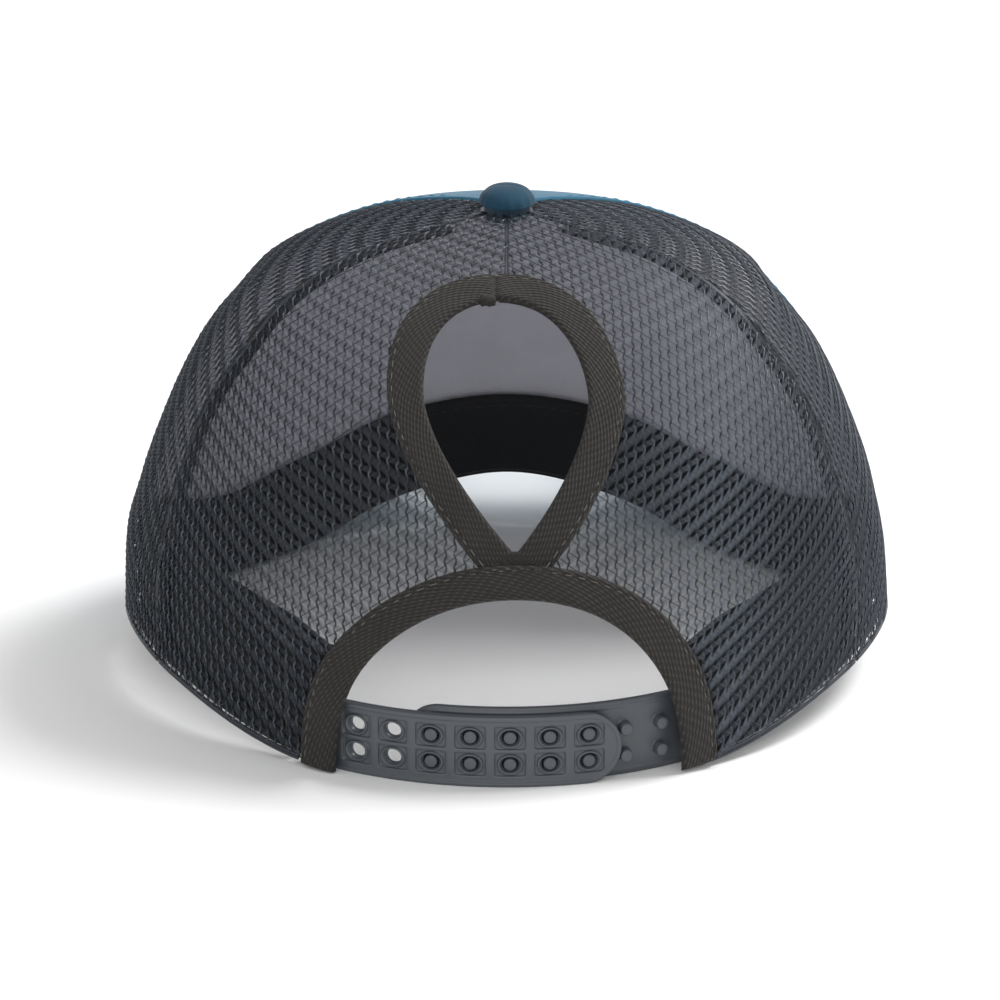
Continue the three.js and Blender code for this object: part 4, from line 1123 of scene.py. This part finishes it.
def at_depth(flat, depth):
    """Points with a depth, from flat points."""
    return np.concatenate([flat, np.full((len(flat), 1), float(depth))], axis=1)


def rectangle_edge(across, up):
    """Points round a rectangle, anticlockwise from its lower left corner, from its places across and up."""
    return np.concatenate([
        joined(across[:-1], up[0]), joined(across[-1], up[:-1]),
        joined(across[:0:-1], up[-1]), joined(across[0], up[:0:-1]),
    ])


def cell_edge():
    """Points round a cell's edge, about its middle."""
    return rectangle_edge(SNAP_PITCH / 2 * np.linspace(-1, 1, CELL_ACROSS + 1),
                          ROW_PITCH / 2 * np.linspace(-1, 1, CELL_UP + 1))


def cell_bound(depth):
    """A cell's edge at a depth."""
    return at_depth(cell_edge(), depth)


def cell_ring(power, half_across, half_up, depth):
    """A ring inside a cell: the superellipse |x/a|^p + |y/b|^p = 1 in the directions of its edge points."""
    way = unit(cell_edge())
    size = (np.abs(way / [half_across, half_up]) ** power).sum(axis=1) ** (-1 / power)
    return at_depth(way * size[:, None], depth)


def strap_part(height, first_arc, end_arc, radius, thickness, face_rings, back_rings, loops, mirror):
    """A strap made flat in arc, height and depth, then bent to its cylinder. face_rings go from a cell's
    edge inward, and back_rings do so on the back where the cells are closed. loops go from the block of
    cells outward over the border, the edge and the back, each as an inset and a depth."""
    center = np.array([end_arc - height / 2, height / 2])
    limit = height / 2 - loops[0][0] - 0.15
    around = 2 * (CELL_ACROSS + CELL_UP)
    points = []
    quads = []
    caps = []
    start = 0

    def held(ring, margin):
        """A ring with its points beyond the end's centre kept inside the round end."""
        offset = ring[:, :2] - center
        reach = np.linalg.norm(offset, axis=-1)
        shrink = np.where(offset[:, 0] > 0, np.minimum(1, (limit - margin) / np.maximum(reach, 1e-9)), 1)
        return np.concatenate([center + offset * shrink[:, None], ring[:, 2:]], axis=1)

    for column in range(SNAP_COLUMNS):
        for row in range(2):
            place = np.array([first_arc + SNAP_PITCH * column, ROW_LOW + ROW_PITCH * (row + 0.5), 0])
            for rings, turn in ((face_rings, 1), (back_rings, -1)):
                if not rings:
                    continue
                points += [held(ring + place, min(i * 0.06, 0.4)) for i, ring in enumerate(rings)]
                quads.append(grid_faces(len(rings), around, ring=True)[:, ::turn] + start)
                start += len(rings) * around
                if back_rings:
                    caps.append(np.arange(start - around, start)[None, ::turn])
    left = first_arc - SNAP_PITCH / 2
    arcs = left + SNAP_PITCH / CELL_ACROSS * np.arange(SNAP_COLUMNS * CELL_ACROSS + 1)
    ups = ROW_LOW + ROW_PITCH / CELL_UP * np.arange(2 * CELL_UP + 1)
    bound = rectangle_edge(arcs, ups)
    on_left = bound[:, 0] <= left
    below = bound[:, 1] < center[1]
    offset = bound - center
    way = unit(offset)
    share = (bound[:, 1] - ROW_LOW) / (2 * ROW_PITCH)

    def loop(inset, depth):
        """The outline of the strap held in by an inset."""
        straight = joined(bound[:, 0], np.where(below, inset, height - inset))
        round_end = center + way * (height / 2 - inset)
        square_end = joined(-STRAP_END_ARC + inset, inset + share * (height - 2 * inset))
        placed = np.where((offset[:, 0] > 0)[:, None], round_end, straight)
        return at_depth(np.where(on_left[:, None], square_end, placed), depth)

    block_front, block_back = (held(at_depth(bound, depth), 0) for depth in (face_rings[0][0, 2], thickness))
    border = [block_front, *(loop(*step) for step in loops), block_back]
    points += border
    quads.append(grid_faces(len(border), len(bound), ring=True)[:, ::-1] + start)
    points = np.concatenate(points)
    _, first, index = np.unique(np.round(points, 4), axis=0, return_index=True, return_inverse=True)
    points = points[first]
    index = index.ravel()
    faces = [index[np.concatenate(quads)]] + ([index[np.concatenate(caps)]] if caps else [])
    turn = mirror * points[:, 0] / STRAP_RADIUS
    reach = radius - points[:, 2]
    placed = joined(reach * np.sin(turn), STRAP_CENTER_Y - reach * np.cos(turn), points[:, 1])
    return make_part(placed * MM + CROWN_SHIFT, faces, points[:, :2])


def strap_plastic(name):
    """Slate grey moulded plastic with a soft sheen and a fine grain."""
    material, tree, principled = new_material(name)
    feed(tree, principled, {
        "Base Color": mottled(tree, 0x44484D, 60.0, 0.05),
        "Normal": raised_by(tree, grain(tree, 1400.0, 3.0), 0.25, 0.05),
        "Roughness": 0.38,
        "Specular IOR Level": 0.5,
    })
    return material


plastic = strap_plastic("strap_plastic")
HOLE_STRAP_THICKNESS = 2.2
hole_rings = [cell_bound(0.35)] + [cell_ring(*row) for row in (
    (14, 3.66, 2.91, 0.35),
    (14, 3.56, 2.81, 0.44),
    (12, 3.48, 2.73, 0.80),
    (10, 3.36, 2.66, 0.88),
    (2.4, 3.06, 2.58, 0.88),
    (2.2, 2.98, 2.50, 0.80),
    (2, 2.93, 2.44, 0.38),
    (2, 2.84, 2.36, 0.28),
    (2, 2.66, 2.20, 0.24),
    (2, 2.52, 2.08, 0.30),
    (2, 2.40, 1.98, 0.44),
    (2, 1.95, 1.76, 1.0),
    (2, 1.80, 1.70, 1.5),
    (2, 1.80, 1.70, HOLE_STRAP_THICKNESS),
)] + [cell_bound(HOLE_STRAP_THICKNESS)]
hole_loops = ((1.25, 0.35), (1.12, 0.30), (1.02, 0.08), (0.90, 0.0), (0.36, 0.0), (0.14, 0.06), (0.0, 0.26),
              (0.0, 1.94), (0.14, 2.14), (0.34, HOLE_STRAP_THICKNESS))
hole_strap = strap_part(
    height=17.0, first_arc=-35.9, end_arc=26.7, radius=STRAP_RADIUS, thickness=HOLE_STRAP_THICKNESS,
    face_rings=hole_rings, back_rings=[], loops=hole_loops, mirror=1)
dress("hole_strap", [hole_strap], plastic, "snap_strap_holes")

PEG_STRAP_THICKNESS = 1.8
PEG_STRAP_GAP = 0.45
PEG_TOP = -2.3
peg_rings = [cell_bound(0.15)] + [cell_ring(2, half, half, depth) for half, depth in (
    (1.95, 0.15), (1.66, 0.10), (1.54, -0.10), (1.5, -0.4), (1.5, -1.95), (1.42, -2.16), (1.22, -2.27),
    (0.8, PEG_TOP), (0.3, PEG_TOP))]
peg_back = [cell_bound(PEG_STRAP_THICKNESS), cell_ring(2, 0.3, 0.3, PEG_STRAP_THICKNESS)]
peg_loops = ((2.0, 0.15), (1.72, 0.15), (1.56, 0.04), (1.42, 0.0), (1.12, 0.0), (0.98, 0.04), (0.82, 0.15),
             (0.3, 0.15), (0.1, 0.22), (0.0, 0.4), (0.0, 1.5), (0.1, 1.7), (0.3, PEG_STRAP_THICKNESS))
peg_strap = strap_part(
    height=18.2, first_arc=-37.3, end_arc=25.3, radius=STRAP_RADIUS - HOLE_STRAP_THICKNESS - PEG_STRAP_GAP,
    thickness=PEG_STRAP_THICKNESS, face_rings=peg_rings, back_rings=peg_back, loops=peg_loops, mirror=-1)
dress("peg_strap", [peg_strap], plastic, "snap_strap_pegs")


# The floor, the light and the camera
# A plain white floor that the cap rests on, soft light from the upper right and a wide pale sky.
CAMERA_AIM = (0.0, 0.0, 0.050)
CAMERA_ELEVATION = 19.5
CAMERA_DISTANCE = 1.150
CAMERA_LENS = 172.6
CAMERA_SENSOR = 36
CAMERA_SHIFT = (-0.007, -0.045)
FLOOR_REACH = 4.0
LAMP_AIM = (0, 0, 0.05)

corners = np.array([(-1, -1, 0), (1, -1, 0), (1, 1, 0), (-1, 1, 0)], float) * FLOOR_REACH
floor = mesh_object("floor", make_part(corners, [np.array([[0, 1, 2, 3]])]), smooth=False)
floor_material, tree, principled = new_material("floor_white")
feed(tree, principled, {"Base Color": (0.86, 0.86, 0.86, 1), "Roughness": 0.7})
floor.data.materials.append(floor_material)


def area_light(name, place, aim, size, watts):
    """A square soft lamp at a place, pointing at a spot."""
    light = bpy.data.lights.new(name, "AREA")
    light.size = size
    light.energy = watts
    lamp = bpy.data.objects.new(name, light)
    bpy.context.scene.collection.objects.link(lamp)
    lamp.location = place
    direction = np.array(aim) - np.array(place)
    lamp.rotation_euler = (
        math.acos(-direction[2] / np.linalg.norm(direction)),
        0,
        math.atan2(direction[0], -direction[1]) + math.pi,
    )
    return lamp


area_light("key", place=(0.9, 0.3, 1.25), aim=LAMP_AIM, size=0.55, watts=24)
area_light("fill", place=(-0.1, -1.5, 0.7), aim=LAMP_AIM, size=1.2, watts=8)
# A faint lamp under the peak lights the strip of floor there that shows inside the cap
under_lamp = area_light(
    "under_peak", place=(0.0, 0.090, 0.0105), aim=(0.0, 0.0901, 0.0), size=0.045, watts=0.006)
under_lamp.visible_camera = False
world = bpy.data.worlds.new("studio")
bpy.context.scene.world = world
world.use_nodes = True
feed(world.node_tree, world.node_tree.nodes["Background"], {"Color": (1, 1, 1, 1), "Strength": 0.68})

camera_data = bpy.data.cameras.new("camera")
camera = bpy.data.objects.new("camera", camera_data)
bpy.context.scene.collection.objects.link(camera)
aim = np.array(CAMERA_AIM) + CROWN_SHIFT
tilt = math.radians(CAMERA_ELEVATION)
camera.location = aim + CAMERA_DISTANCE * np.array([0, -math.cos(tilt), math.sin(tilt)])
camera.rotation_euler = (math.pi / 2 - tilt, 0, 0)
camera_data.lens = CAMERA_LENS
camera_data.sensor_width = CAMERA_SENSOR
camera_data.shift_x, camera_data.shift_y = CAMERA_SHIFT
camera_data.clip_end = 20
bpy.context.scene.camera = camera
bpy.context.scene.view_settings.view_transform = "Standard"
